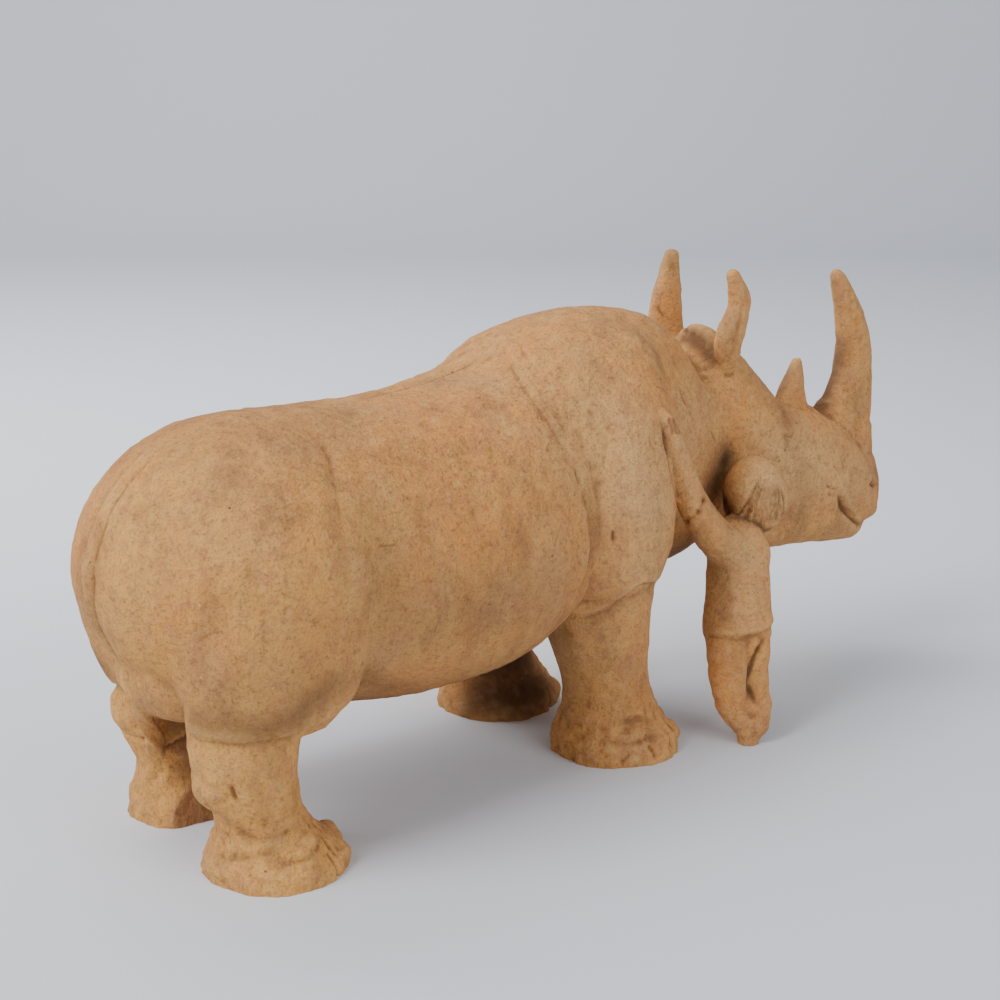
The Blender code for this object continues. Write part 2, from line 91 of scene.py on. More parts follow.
# Where the head sits: the point between the ears, and how far the head turns to its right
EARS_AT = Vector((234.0, -3.0, 0.0))
HEAD_TURN = math.radians(12.0)

# The camera, in parts and degrees: what it looks at, from where, and through which lens
LOOKS_AT = Vector((112.5, 42.2, 130.0))
CAMERA_AZIMUTH = -41.8
CAMERA_ELEVATION = 15.0
CAMERA_DISTANCE = 1080.0
LENS_MM = 64.8
SENSOR_MM = 36.0

FRAME_LOW, FRAME_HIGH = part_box(NODE)
PART = (FRAME_HIGH.z - FRAME_LOW.z) / PARTS_HIGH
ORIGIN = FRAME_LOW + Vector((REACH_BACK, REACH_RIGHT, 0.0)) * PART


class Side(Enum):
    """The figure's own sides."""

    RIGHT = -1
    LEFT = 1


class StainAndShade(Enum):
    """What lies on the clay besides its own colour, and the shade painted on it, kept as one value for each
    point.
    """

    HOLLOW = "hollow"
    # Dirt in grooves and pits, and painted shade in deep gaps and on shaded faces
    DIRT_AND_SHADE = "dirt_and_shade"
    # Painted shade under overhangs, in hollows and on sides turned from the light, and grey smoke on the
    # tall horn's tip
    SMOKE = "smoke_and_shade"
    OCHRE = "ochre"
    RUDDY = "ruddy"
    PALE = "pale"


def placed(point: Point | Vector) -> Vector:
    """Turns a place in parts into one in the frame, in metres."""
    return ORIGIN + Vector(point) * PART


def on_head(along: float, aside: float, rise: float) -> Vector:
    """Gives a place on the head.

    Args:
        along: Distance ahead of the point between the ears.
        aside: Distance to the head's left.
        rise: Height above the ground.

    Returns:
        The place in parts.
    """
    ahead = Vector((math.cos(HEAD_TURN), -math.sin(HEAD_TURN), 0.0))
    left = Vector((math.sin(HEAD_TURN), math.cos(HEAD_TURN), 0.0))
    return EARS_AT + ahead * along + left * aside + Vector((0.0, 0.0, rise))


def both_flanks(path: list[Point]) -> tuple[list[Point], list[Point]]:
    """Gives a path on the right flank, and the same path on the left one."""
    return path, [(x, -y, z) for x, y, z in path]


def both_cheeks(path: list[Point]) -> tuple[list[Vector], list[Vector]]:
    """Gives a path on the right cheek, and its mirror image in the head's middle plane."""
    left = Vector((math.sin(HEAD_TURN), math.cos(HEAD_TURN), 0.0))
    near = [Vector(point) for point in path]
    return near, [point - left * (2 * (point - EARS_AT).dot(left)) for point in near]


def over_head(*places: Point) -> list[Vector]:
    """Gives a path on the head, through places along it, to its left and up."""
    return [on_head(*place) for place in places]


def shifted(path: list, ahead: float = 0, left: float = 0, up: float = 0) -> list[Point]:
    """Gives a path moved over."""
    return [(x + ahead, y + left, z + up) for x, y, z in path]


def ramp(values: np.ndarray, none: float, full: float) -> np.ndarray:
    """Gives 0 up to one value, 1 from another on, and a straight rise between them."""
    return np.clip((values - none) / (full - none), 0, 1)


def bell(off: np.ndarray, width: float) -> np.ndarray:
    """Gives 1 at no distance, and less and less further off."""
    return np.exp(-((off / width) ** 2))


def run_out(along: np.ndarray, fade: float) -> np.ndarray | float:
    """Gives 1 on a stroke, and less over the share of its length where each end runs out."""
    return ramp(np.minimum(along, 1 - along), 0, fade) if fade else 1.0


def flow(rows: list[Row], steps: int) -> list[np.ndarray]:
    """Runs a smooth curve through rows of numbers.

    Args:
        rows: The rows that the curve passes through.
        steps: How many rows stand for each stretch between two of them.

    Returns:
        The rows of the curve.
    """
    rows = [np.array(row, float) for row in rows]
    padded = [2 * rows[0] - rows[1], *rows, 2 * rows[-1] - rows[-2]]
    run = []
    for before, start, end, after in zip(padded, padded[1:], padded[2:], padded[3:]):
        for t in np.arange(steps) / steps:
            bend = 2 * before - 5 * start + 4 * end - after
            twist = 3 * start - before - 3 * end + after
            run.append(0.5 * (2 * start + (end - before) * t + bend * t**2 + twist * t**3))
    run.append(rows[-1])
    return run


def lattice_noise(points: np.ndarray, size: float, seed: int) -> np.ndarray:
    """Gives smooth random values in space.

    Args:
        points: The places, one row each.
        size: How far apart the values turn over.
        seed: Picks the pattern.

    Returns:
        One value from -1 to 1 for each place.
    """
    table = np.random.default_rng(seed).uniform(-1, 1, 4096)
    scaled = points / size
    cell = np.floor(scaled).astype(np.int64)
    share = scaled - cell
    share = share * share * (3 - 2 * share)
    total = np.zeros(len(points))
    for corner in range(8):
        step = np.array([corner & 1, corner >> 1 & 1, corner >> 2 & 1])
        key = (cell + step) * np.array([73856093, 19349663, 83492791])
        value = table[(key[:, 0] ^ key[:, 1] ^ key[:, 2]) & 4095]
        total += value * np.prod(np.where(step == 1, share, 1 - share), axis=1)
    return total


class Lump:
    """Raw clay, put together from rings and balls that run into one another."""

    def __init__(self) -> None:
        """Starts with no clay."""
        self.bm = bmesh.new()

    def add_ring(self, centre: Vector, side: Vector, up: Vector, reach: Row, square: float) -> list:
        """Adds a closed ring of edges.

        Args:
            centre: The middle of the ring.
            side: The way its width runs.
            up: The way its height runs.
            reach: Half width, height above the middle and depth below it.
            square: Under 1 for a ring that fills its corners a little.

        Returns:
            The ring's points.
        """
        half_width, above, below = reach
        ring = bmesh.ops.create_circle(self.bm, segments=RING_POINTS, radius=1.0)["verts"]
        for vert in ring:
            across = math.copysign(abs(vert.co.x) ** square, vert.co.x)
            rise = math.copysign(abs(vert.co.y) ** square, vert.co.y)
            vert.co = centre + side * (across * half_width) + up * (rise * (above if rise > 0 else below))
        return ring

    def add_skin(
        self,
        rows: list[Row],
        up_hint: Point | Vector,
        facing: Point | Vector | None = None,
        dome: float = 0.6,
        square: float = 1.0,
    ) -> None:
        """Adds a closed skin over rings.

        Args:
            rows: Rows of x, y, z, half width, height above and depth below.
            up_hint: About which way the rings' height runs.
            facing: Holds every ring square to one direction.
            dome: How far the ends round out, as a share of their height.
            square: Under 1 for rings that fill their corners a little.
        """
        run = flow(rows, RING_STEPS)
        centres = [Vector(row[:3]) for row in run]
        last = len(run) - 1
        rings = []
        for index, row in enumerate(run):
            ahead = centres[min(index + 1, last)] - centres[max(index - 1, 0)]
            tangent = Vector(facing) if facing else ahead.normalized()
            side = Vector(up_hint).cross(tangent).normalized()
            rings.append((centres[index], tangent, side, tangent.cross(side), row[3:6]))
        for end, way in ((0, -1), (-1, 1)):
            centre, tangent, side, up, reach = rings[end]
            bulge = dome * min(reach[0], 0.5 * (reach[1] + reach[2]))
            for step in range(1, DOME_STEPS + 1):
                angle = DOME_ARC * step / DOME_STEPS
                cap_centre = centre + tangent * (way * bulge * math.sin(angle))
                cap = (cap_centre, tangent, side, up, reach * math.cos(angle))
                rings.insert(0 if way < 0 else len(rings), cap)
        loops = [self.add_ring(centre, side, up, reach, square) for centre, _, side, up, reach in rings]
        for near, far in zip(loops, loops[1:]):
            edges = {edge for vert in near for edge in vert.link_edges if edge.other_vert(vert) in near}
            edges |= {edge for vert in far for edge in vert.link_edges if edge.other_vert(vert) in far}
            bmesh.ops.bridge_loops(self.bm, edges=list(edges))
        for loop in (loops[0], loops[-1]):
            bmesh.ops.contextual_create(self.bm, geom=loop)

    def add_limb(self, rows: list[Row]) -> None:
        """Adds a round limb through rows of x, y, z and radius."""
        self.add_skin([(x, y, z, radius, radius, radius) for x, y, z, radius in rows], (1, 0, 0), dome=0.9)

    def add_ball(self, centre: Point | Vector, radii: Point, turn: float = 0.0) -> None:
        """Adds an egg shape, turned about the upright."""
        place = Matrix.Translation(Vector(centre)) @ Matrix.Rotation(turn, 4, "Z")
        bmesh.ops.create_uvsphere(
            self.bm, u_segments=40, v_segments=26, radius=1.0, matrix=place @ Matrix.Diagonal((*radii, 1.0))
        )

    def skinned(self) -> bpy.types.Mesh:
        """Gives a mesh of one even skin over all the clay, drawn in a little where shapes meet."""
        bmesh.ops.recalc_face_normals(self.bm, faces=self.bm.faces[:])
        core = bpy.data.meshes.new("core")
        self.bm.to_mesh(core)
        self.bm.free()
        clay = bpy.data.objects.new("clay", core)
        bpy.context.scene.collection.objects.link(clay)
        skin = clay.modifiers.new("skin", "REMESH")
        skin.mode = "VOXEL"
        skin.voxel_size = GRAIN
        smooth = clay.modifiers.new("smooth", "SMOOTH")
        smooth.factor = 0.5
        smooth.iterations = 9
        return baked(clay)


def baked(clay: bpy.types.Object) -> bpy.types.Mesh:
    """Gives the mesh that an object's modifiers leave, and removes the object."""
    mesh = bpy.data.meshes.new_from_object(clay.evaluated_get(bpy.context.evaluated_depsgraph_get()))
    bpy.data.objects.remove(clay, do_unlink=True)
    return mesh


class Clay:
    """The skin of the clay while it is worked: its points, the ways they face, what stains them and the
    shade painted on them.
    """

    def __init__(self, mesh: bpy.types.Mesh) -> None:
        """Reads the skin's points and edges."""
        count = len(mesh.vertices)
        self.mesh = mesh
        self.points = np.empty(count * 3)
        mesh.vertices.foreach_get("co", self.points)
        self.points = self.points.reshape(-1, 3)
        self.ends = np.empty(len(mesh.edges) * 2, int)
        mesh.edges.foreach_get("vertices", self.ends)
        self.ends = self.ends.reshape(-1, 2)
        self.stains_and_shade = {stain_and_shade: np.zeros(count) for stain_and_shade in StainAndShade}
        self.face_out()
        self.settle()

    def face_out(self) -> None:
        """Works the normals out again after the points have moved."""
        self.mesh.vertices.foreach_set("co", self.points.ravel())
        self.mesh.update()
        self.normals = np.empty(self.points.size)
        self.mesh.vertex_normals.foreach_get("vector", self.normals)
        self.normals = self.normals.reshape(-1, 3)

    def settle(self) -> None:
        """Makes the skin as it is now what the tools feel for."""
        faces = [tuple(face.vertices) for face in self.mesh.polygons]
        self.tree = BVHTree.FromPolygons(self.points.tolist(), faces, all_triangles=False)

    def evened(self, values: np.ndarray) -> np.ndarray:
        """Gives each point the middle of its neighbours' values."""
        first, second = self.ends.T
        count = len(values)
        weight = np.bincount(first, minlength=count) + np.bincount(second, minlength=count)
        columns = [
            np.bincount(first, column[second], count) + np.bincount(second, column[first], count)
            for column in values.T
        ]
        return np.stack(columns, axis=1) / weight[:, None]

    def soften(self, share: np.ndarray, rounds: int) -> None:
        """Evens the points out with their neighbours, each by its own share."""
        for _ in range(rounds):
            self.points += share[:, None] * (self.evened(self.points) - self.points)
        self.face_out()

    def near_stroke(self, path: list, reach: float) -> tuple[np.ndarray, ...]:
        """Finds the points near a stroke that is laid on to the skin.

        Args:
            path: The stroke's places, near the skin.
            reach: How far from the stroke to look.

        Returns:
            Which points they are, how far off, how far along, and how far to the stroke's left.
        """
        places = flow([tuple(place) for place in path], STROKE_STEPS)
        run = [self.tree.find_nearest(Vector(place)) for place in places]
        laid = np.array([found[0] for found in run])
        facing = np.array([found[1] for found in run])
        left = np.cross(facing, np.gradient(laid, axis=0))
        left /= np.linalg.norm(left, axis=1)[:, None] + 1e-9
        inside = np.all((self.points > laid.min(0) - reach) & (self.points < laid.max(0) + reach), axis=1)
        chosen = np.flatnonzero(inside)
        gap = self.points[chosen, None] - laid[None]
        distance = np.linalg.norm(gap, axis=2)
        closest = distance.argmin(axis=1)
        rows = np.arange(len(chosen))
        off = distance[rows, closest]
        side = (gap[rows, closest] * left[closest]).sum(axis=1)
        kept = off < reach
        return chosen[kept], off[kept], closest[kept] / (len(run) - 1), side[kept]

    def groove(self, path: list, width: float, depth: float, fade: float = 0.2, dirt_and_shade: float = 0.0) -> None:
        """Presses a groove, or raises a ridge.

        Args:
            path: The stroke's places.
            width: Half the groove's width.
            depth: Its depth, negative for a ridge.
            fade: The share of its length over which each end runs out.
            dirt_and_shade: How dark its inside is painted, for dirt and for the shade in it.
        """
        chosen, off, along, _ = self.near_stroke(path, 2.5 * max(width, GRAIN))
        ends = run_out(along, fade)
        self.points[chosen] -= self.normals[chosen] * (depth * ends * bell(off, width))[:, None]
        # The dark laid in the groove is dirt and painted shade.
        if dirt_and_shade:
            self.lay(StainAndShade.DIRT_AND_SHADE, chosen, dirt_and_shade * ends * bell(off, 0.7 * max(width, GRAIN)))

    def lap(self, path: list, reach: float, height: float, fade: float = 0.15, dirt_and_shade: float = 0.0) -> None:
        """Raises one skin over another along a stroke: proud on its left, lower on its right.

        Args:
            path: The stroke's places.
            reach: How far to each side the step is felt.
            height: Half the height of the step.
            fade: The share of its length over which each end runs out.
            dirt_and_shade: How much shade is painted under the edge.
        """
        chosen, off, along, side = self.near_stroke(path, 3 * reach)
        ends = run_out(along, fade)
        lift = height * ends * np.tanh(side / GRAIN) * bell(off, reach)
        self.points[chosen] += self.normals[chosen] * lift[:, None]
        # Painted shade under the proud edge.
        if dirt_and_shade:
            self.lay(StainAndShade.DIRT_AND_SHADE, chosen, dirt_and_shade * ends * bell(off, 1.2 * GRAIN) * (side < GRAIN))

    def dent(self, centre: Point | Vector, radius: float, depth: float, dirt_and_shade: float = 0.0) -> None:
        """Presses one round hollow, or raises a bump where the depth is negative."""
        middle = np.array(self.tree.find_nearest(Vector(centre))[0])
        shape = bell(np.linalg.norm(self.points - middle, axis=1), radius)
        self.points -= self.normals * (depth * shape)[:, None]
        # The dark laid in the hollow is dirt and painted shade.
        if dirt_and_shade:
            self.lay(StainAndShade.DIRT_AND_SHADE, slice(None), dirt_and_shade * shape)

    def slice_off(self, on_plane: Point, facing: Point, reach: float, deep: float) -> None:
        """Cuts a flat facet, and leaves it ruddy, with painted shade over it.

        Args:
            on_plane: A place on the facet.
            facing: The way the facet faces.
            reach: How far from that place the cut is felt.
            deep: How deep the cut goes at most.
        """
        outward = np.array(facing) / np.linalg.norm(facing)
        gap = self.points - np.array(on_plane)
        proud = gap @ outward
        cut = (proud > 0) & (proud < deep) & (np.linalg.norm(gap, axis=1) < reach)
        self.points[cut] -= proud[cut][:, None] * outward
        # Painted shade: the facet lies in shadow.
        self.stains_and_shade[StainAndShade.SMOKE][cut] = 0.35
        self.stains_and_shade[StainAndShade.RUDDY][cut] = 1.0

    def knead(self, size: float, height: float, seed: int, share: np.ndarray | float = 1.0) -> None:
        """Leaves the skin uneven, as hands do, with lumps of a given size and height."""
        lift = height * lattice_noise(self.points, size, seed) * share
        self.points += self.normals * lift[:, None]

    def paint(self, stain_and_shade: StainAndShade, path: list, reach: float, strength: float) -> None:
        """Lays one of the stains, painted shade among them, in a band along a stroke."""
        chosen, off, _, _ = self.near_stroke(path, 2.5 * reach)
        self.lay(stain_and_shade, chosen, strength * bell(off, reach))

    def lay(self, stain_and_shade: StainAndShade, chosen: np.ndarray | slice, amount: np.ndarray) -> None:
        """Lays one of the stains, painted shade among them, on points that don't carry more of it already.
        """
        self.stains_and_shade[stain_and_shade][chosen] = np.maximum(self.stains_and_shade[stain_and_shade][chosen], amount)

    def feel_hollows(self) -> None:
        """Keeps how far each point lies in a hollow, or stands out where the value is negative."""
        smooth = self.points.copy()
        hollow = np.zeros(len(smooth))
        for rounds, depth in HOLLOWS:
            for _ in range(rounds):
                smooth = self.evened(smooth)
            hollow += ((smooth - self.points) * self.normals).sum(axis=1) / depth
        self.stains_and_shade[StainAndShade.HOLLOW] = np.clip(0.5 * hollow, -1, 1)

    def finished(self, name: str) -> bpy.types.Object:
        """Gives the piece at its real size and place.

        Args:
            name: The piece's name.

        Returns:
            The finished piece, linked to the scene.
        """
        self.face_out()
        self.feel_hollows()
        for stain_and_shade, values in self.stains_and_shade.items():
            layer = self.mesh.attributes.new(stain_and_shade.value, "FLOAT", "POINT")
            layer.data.foreach_set("value", values.astype(np.float32))
        piece = bpy.data.objects.new(name, self.mesh)
        bpy.context.scene.collection.objects.link(piece)
        triangles = sum(len(face.vertices) - 2 for face in self.mesh.polygons)
        ahead, _, level = self.points.T
        plain = (ahead < PLAIN_BEHIND) & (level > PLAIN_ABOVE)
        detail = piece.vertex_groups.new(name="plain")
        detail.add(np.flatnonzero(plain).tolist(), 1.0, "REPLACE")
        detail.add(np.flatnonzero(~plain).tolist(), FINE_SHARE, "REPLACE")
        thin = piece.modifiers.new("thin", "DECIMATE")
        thin.ratio = min(1.0, TRIANGLES / triangles)
        thin.vertex_group = detail.name
        mesh = baked(piece)
        self.stand(mesh)
        mesh.name = name
        piece = bpy.data.objects.new(name, mesh)
        bpy.context.scene.collection.objects.link(piece)
        return piece

    def stand(self, mesh: bpy.types.Mesh) -> None:
        """Cuts away what is below the ground, and brings the mesh to its place in the frame."""
        bm = bmesh.new()
        bm.from_mesh(mesh)
        everything = bm.verts[:] + bm.edges[:] + bm.faces[:]
        bmesh.ops.bisect_plane(
            bm, geom=everything, dist=1e-4, plane_co=(0, 0, 0), plane_no=(0, 0, 1), clear_inner=True
        )
        bmesh.ops.holes_fill(bm, edges=[edge for edge in bm.edges if edge.is_boundary])
        bmesh.ops.triangulate(bm, faces=bm.faces[:])
        bmesh.ops.scale(bm, vec=(PART, PART, PART), verts=bm.verts[:])
        bmesh.ops.translate(bm, vec=ORIGIN, verts=bm.verts[:])
        bmesh.ops.recalc_face_normals(bm, faces=bm.faces[:])
        bm.to_mesh(mesh)
        bm.free()
        mesh.shade_smooth()
        mesh.set_sharp_from_angle(angle=math.radians(60))


@dataclass
class Rump:
    """The round rump and haunches, which stand a little proud of the barrel."""

    # Its middle, how far it reaches fore and aft, and its level
    middle: float = -101
    reach: float = 83
    level: float = 143
    # Half width, height above and depth below at its widest
    spread: Row = (85, 78, 64)
    # The seat between the haunches
    seat: Point = (-140, 0, 97)
    seat_radii: Point = (28, 36, 26)
    # x, y, height above the ground, half width, reach forward, reach back
    haunch: tuple[Row, ...] = (
        (-106, 38, 155, 38, 44, 58),
        (-106, 39, 122, 45, 47, 60),
        (-107, 39, 98, 43.5, 39, 53),
        (-108, 39, 84, 39, 30, 47),
        (-109, 39, 75, 32, 25, 38),
    )

    def build(self, lump: Lump) -> None:
        """Adds the ball of the rump and a haunch on each side."""
        stations = []
        for way in np.linspace(0, math.pi, 13)[1:-1]:
            rings = [size * math.sin(way) for size in self.spread]
            stations.append((self.middle - self.reach * math.cos(way), 0, self.level, *rings))
        lump.add_skin(stations, (0, 0, 1), facing=(1, 0, 0), dome=0.13)
        lump.add_ball(self.seat, self.seat_radii)
        for side in Side:
            rows = [(x, y * side.value, *reach) for x, y, *reach in self.haunch]
            lump.add_skin(rows, (1, 0, 0), facing=(0, 0, -1), dome=0.12, square=0.9)

    def work(self, clay: Clay) -> None:
        """Works the fold at the flank, the rims over the legs, and a few nicks."""
        fold = [(-81, -22, 216), (-78, -39, 208), (-80, -52, 201), (-88, -65, 190), (-93, -73, 178),
                (-96, -81, 162), (-94, -83, 143), (-90, -81, 121), (-93, -80, 103)]
        for path in both_flanks(fold):
            clay.groove(path, 5.5, 1.3)
            clay.groove(shifted(path[1:5], ahead=9), 5, -0.6)
            clay.groove(path[1:6], 1.5, 0.5, dirt_and_shade=0.12)
        rim = [(-160, -25, 80), (-145, -52, 80), (-120, -72, 82), (-95, -76, 86), (-76, -68, 90)]
        for side, path in zip(Side, both_flanks(rim)):
            clay.lap(path if side is Side.RIGHT else path[::-1], 8, 1.1)
        clay.groove([(-88, -66, 189), (-90, -70, 184), (-92, -73, 178)], 1.1, 1.3, dirt_and_shade=0.45)
        clay.groove([(-81, -52, 203), (-84, -58, 198)], 1.2, 0.7, fade=0, dirt_and_shade=0.3)
        clay.groove([(-165, -51, 132), (-161, -57, 137), (-156, -63, 140)], 1.6, -0.7)
        clay.groove([(-164, -54, 129), (-160, -60, 134), (-155, -65, 137)], 1.4, 0.6, dirt_and_shade=0.1)
        clay.lap([(-82, 26, 215), (-86, 8, 221), (-86, -8, 221), (-82, -26, 216)], 6, 0.5)

    def stain_and_shade(self, clay: Clay) -> None:
        """Paints shade under the rims and along the folds, darkens the lower flanks and the top of the back,
        and lays ochre by the tail.
        """
        # Painted shade on the underside of the rump where it overhangs the hind legs
        rim = [(-160, -44, 87), (-154, -58, 89), (-147, -66, 87), (-138, -72, 86), (-128, -77, 90),
               (-118, -81, 97), (-106, -83, 104)]
        for path in both_flanks(rim):
            clay.paint(StainAndShade.SMOKE, path, 9, 0.85)
        # Painted shade where the fold meets the rim
        clay.paint(StainAndShade.SMOKE, [(-91, -80, 104), (-96, -81, 99)], 5, 0.6)
        # The lower flanks are darkened, with ochre above them
        for path in both_flanks([(-150, -60, 104), (-125, -80, 112), (-100, -84, 122)]):
            clay.paint(StainAndShade.SMOKE, path, 26, 0.2)
            clay.paint(StainAndShade.OCHRE, shifted(path, up=40), 34, 0.5)
        # The top of the back is darkened
        for path in both_flanks([(-130, -20, 212), (-100, -30, 216), (-60, -24, 218)]):
            clay.paint(StainAndShade.SMOKE, path, 26, 0.30)
        # Painted shade along the fold
        fold = [(-79, -39, 208), (-88, -65, 190), (-96, -81, 162), (-94, -83, 143), (-90, -81, 121)]
        for path in both_flanks(fold):
            clay.paint(StainAndShade.SMOKE, path, 4, 0.22)
        beside_tail = [(-140, -18, 208), (-168, -18, 182), (-176, -22, 150), (-168, -26, 116)]
        clay.paint(StainAndShade.OCHRE, beside_tail, 26, 0.8)
        clay.paint(StainAndShade.OCHRE, [(-150, -52, 180), (-160, -50, 150)], 28, 0.45)


@dataclass
class Barrel:
    """Belly, flanks and back between the rump and the shoulders."""

    # x, y, level of the widest part, half width, height above it, depth below it
    stations: tuple[Row, ...] = (
        (-100, 0, 138, 72, 83.5, 64),
        (-60, 0, 132, 80, 87, 69),
        (-20, 0, 128, 85, 89, 71),
        (20, 0, 128, 87, 91, 71),
        (50, 0, 132, 85, 92, 70),
        (72, 0, 138, 79, 93, 66),
    )

    def build(self, lump: Lump) -> None:
        """Adds the barrel."""
        lump.add_skin(self.stations, (0, 0, 1), facing=(1, 0, 0), dome=0.3, square=0.95)

    def work(self, clay: Clay) -> None:
        """Works the line of the spine, soft folds on the flank and scratches."""
        spine = [(-30, -1, 217), (-5, 2, 217), (25, 4, 219), (48, 4, 225), (68, 3, 235)]
        clay.groove(spine, 1.6, 1.0, dirt_and_shade=0.25)
        clay.groove(shifted(spine, left=8), 4, -1.0)
        for path in both_flanks([(-16, -86, 133), (-2, -87, 123), (10, -84, 106)]):
            clay.groove(path, 5, -0.5)
        for path in both_flanks([(-42, -57, 196), (-30, -61, 191), (-14, -68, 183), (0, -76, 170)]):
            clay.groove(path, 6, 0.7)
        for path in both_flanks([(26, -80, 160), (36, -84, 140), (40, -83, 118), (34, -78, 100)]):
            clay.groove(path, 6, -0.7)
        clay.groove([(-73, -77, 164), (-66, -77, 163), (-58, -77, 162)], 1.0, 0.7, dirt_and_shade=0.15)

    def stain_and_shade(self, clay: Clay) -> None:
        """Paints shade on the belly, darker towards the ground, and on the lower flanks."""
        # Painted shade under the belly, on the lower flanks and under the rump's rim
        for path in both_flanks([(-70, -24, 66), (-20, -30, 60), (30, -30, 62), (60, -24, 68)]):
            clay.paint(StainAndShade.SMOKE, path, 34, 0.75)
        for path in both_flanks([(-64, -80, 128), (-20, -86, 118), (30, -84, 112), (60, -74, 104)]):
            clay.paint(StainAndShade.SMOKE, path, 30, 0.32)
        clay.paint(StainAndShade.SMOKE, [(-78, -72, 98), (-70, -68, 86), (-50, -60, 76)], 9, 0.6)


@dataclass
class Shoulders:
    """The hump over the withers and a heavy shoulder on each side."""

    hump: tuple[Row, ...] = (
        (62, 0, 150, 68, 80, 60),
        (80, 0, 150, 74, 91, 62),
        (105, 0, 152, 74, 95, 64),
        (130, 0, 154, 67, 95.5, 62),
        (158, 0, 156, 54, 92, 58),
    )
    blade: tuple[Row, ...] = (
        (132, 22, 234, 20, 26, 24),
        (127, 29, 220, 29, 36, 34),
        (119, 36, 195, 37, 40, 40),
        (111, 43, 168, 38, 41, 45),
        (107, 47, 140, 38, 45, 43),
        (105, 48, 118, 36.5, 43, 39),
        (104, 48, 106, 33, 37, 35),
    )

    def build(self, lump: Lump) -> None:
        """Adds the hump and both shoulders."""
        lump.add_skin(self.hump, (0, 0, 1), facing=(1, 0, 0), dome=0.3, square=0.95)
        for side in Side:
            rows = [(x, y * side.value, *reach) for x, y, *reach in self.blade]
            lump.add_skin(rows, (1, 0, 0), facing=(0, 0, -1), dome=0.3, square=0.92)

    def work(self, clay: Clay) -> None:
        """Works the ridge behind the shoulder, the fold down to the leg, the hem and nicks."""
        ridge = [(75, -4, 238), (68, -17, 232), (64, -28, 226), (61, -46, 213), (62, -61, 199),
                 (64, -71, 184), (63, -75, 173)]
        for path in both_flanks(ridge):
            clay.groove(path[:6], 1.7, -1.0, fade=0.25)
            clay.groove(shifted(path, ahead=-4), 2.2, 0.8, fade=0.25, dirt_and_shade=0.12)
        for path in both_flanks([(80, -12, 238), (76, -20, 234), (73, -28, 229)]):
            clay.groove(path, 1.6, -0.9)
            clay.groove(shifted(path, ahead=-3), 1.4, 0.7, dirt_and_shade=0.1)
        lip = [(64, -76, 170), (67, -76, 162), (69, -76, 150), (71, -78, 136), (69, -77, 123),
               (62, -75, 108), (54, -75, 100)]
        for path in both_flanks(lip):
            clay.groove(path, 3.6, 2.2)
            clay.groove(shifted(path, ahead=-8), 6, -0.8)
            # Painted shadow beside the lip
            clay.paint(StainAndShade.SMOKE, shifted(path[1:], ahead=3), 4, 0.55)
        for path in both_flanks(lip[3:6]):
            clay.groove(path, 1.6, 1.2, dirt_and_shade=0.45)
        hem = [(131, -72, 104), (120, -78, 106), (107, -82, 109), (97, -80, 106), (90, -74, 98),
               (82, -69, 94), (71, -59, 91)]
        for side, path in zip(Side, both_flanks(hem)):
            clay.lap(path[::-1] if side is Side.RIGHT else path, 5, 1.8)
        clay.groove([(126, -75, 105), (119, -79, 105), (111, -81, 107)], 1.2, 1.0, dirt_and_shade=0.5)
        clay.groove([(85, -80, 141), (85, -80, 137)], 1.3, 1.5, fade=0, dirt_and_shade=0.75)
        clay.groove([(57, -54, 206), (56, -55, 204)], 1.1, 0.8, fade=0, dirt_and_shade=0.4)
        clay.groove([(63, -74, 178), (64, -76, 171)], 1.0, 1.1, fade=0, dirt_and_shade=0.35)
        for aside in (0, 4):
            clay.groove([(121 - aside, -75, 191), (121 - aside, -76, 184)], 1.0, 0.7, fade=0, dirt_and_shade=0.15)

    def stain_and_shade(self, clay: Clay) -> None:
        """Leaves the clay behind the shoulder a little warmer and the shoulder paler, and paints shade under
        the hem.
        """
        clay.paint(StainAndShade.OCHRE, [(80, -35, 228), (84, -60, 205), (86, -74, 180)], 14, 0.35)
        for path in both_flanks([(96, -70, 196), (108, -82, 160), (108, -84, 128)]):
            clay.paint(StainAndShade.PALE, path, 34, 0.55)
        # Painted shade under the hem
        clay.paint(StainAndShade.SMOKE, [(128, -72, 100), (112, -78, 101), (96, -76, 98), (80, -66, 90)], 5, 0.35)


@dataclass
class Neck:
    """The thick neck that carries the hump forward to behind the ears."""

    stations: tuple[Row, ...] = (
        (130, 0, 160, 58, 86, 56),
        (158, 0, 160, 53, 87.5, 66),
        (178, -1, 158, 47, 85.5, 71),
        (194, -2, 156, 43, 80, 71),
        (206, -3, 152, 40, 69, 65),
        (222, -4, 148, 37, 58, 55),
    )

    def build(self, lump: Lump) -> None:
        """Adds the neck."""
        lump.add_skin(self.stations, (0, 0, 1), facing=(1, 0, 0), dome=0.3, square=0.95)

    def work(self, clay: Clay) -> None:
        """Nicks the side of the neck."""
        clay.groove([(176, -42, 203), (179, -43, 197), (182, -44, 190)], 1.0, 0.8, dirt_and_shade=0.25)
        clay.groove([(184, -44, 188), (187, -44, 182)], 1.0, 0.6, fade=0, dirt_and_shade=0.12)
        clay.groove([(206, -42, 174), (212, -42, 164)], 1.0, 0.5, dirt_and_shade=0.12)

    def stain_and_shade(self, clay: Clay) -> None:
        """Paints shade under the throat and in the gap behind the person's head, and leaves the side of the
        neck paler.
        """
        # Painted shade under the throat
        clay.paint(StainAndShade.SMOKE, [(150, -20, 100), (175, -22, 98), (200, -22, 100)], 20, 0.8)
        # Painted shade, dark as dirt and lighter beside it, in the gap behind the person's head
        clay.paint(StainAndShade.DIRT_AND_SHADE, [(222, -44, 154), (214, -48, 143), (207, -53, 133), (202, -60, 127)], 7, 0.9)
        clay.paint(StainAndShade.SMOKE, [(214, -40, 158), (206, -42, 142), (198, -44, 128)], 10, 0.6)
        clay.paint(StainAndShade.PALE, [(180, -44, 180), (200, -42, 165)], 22, 0.35)


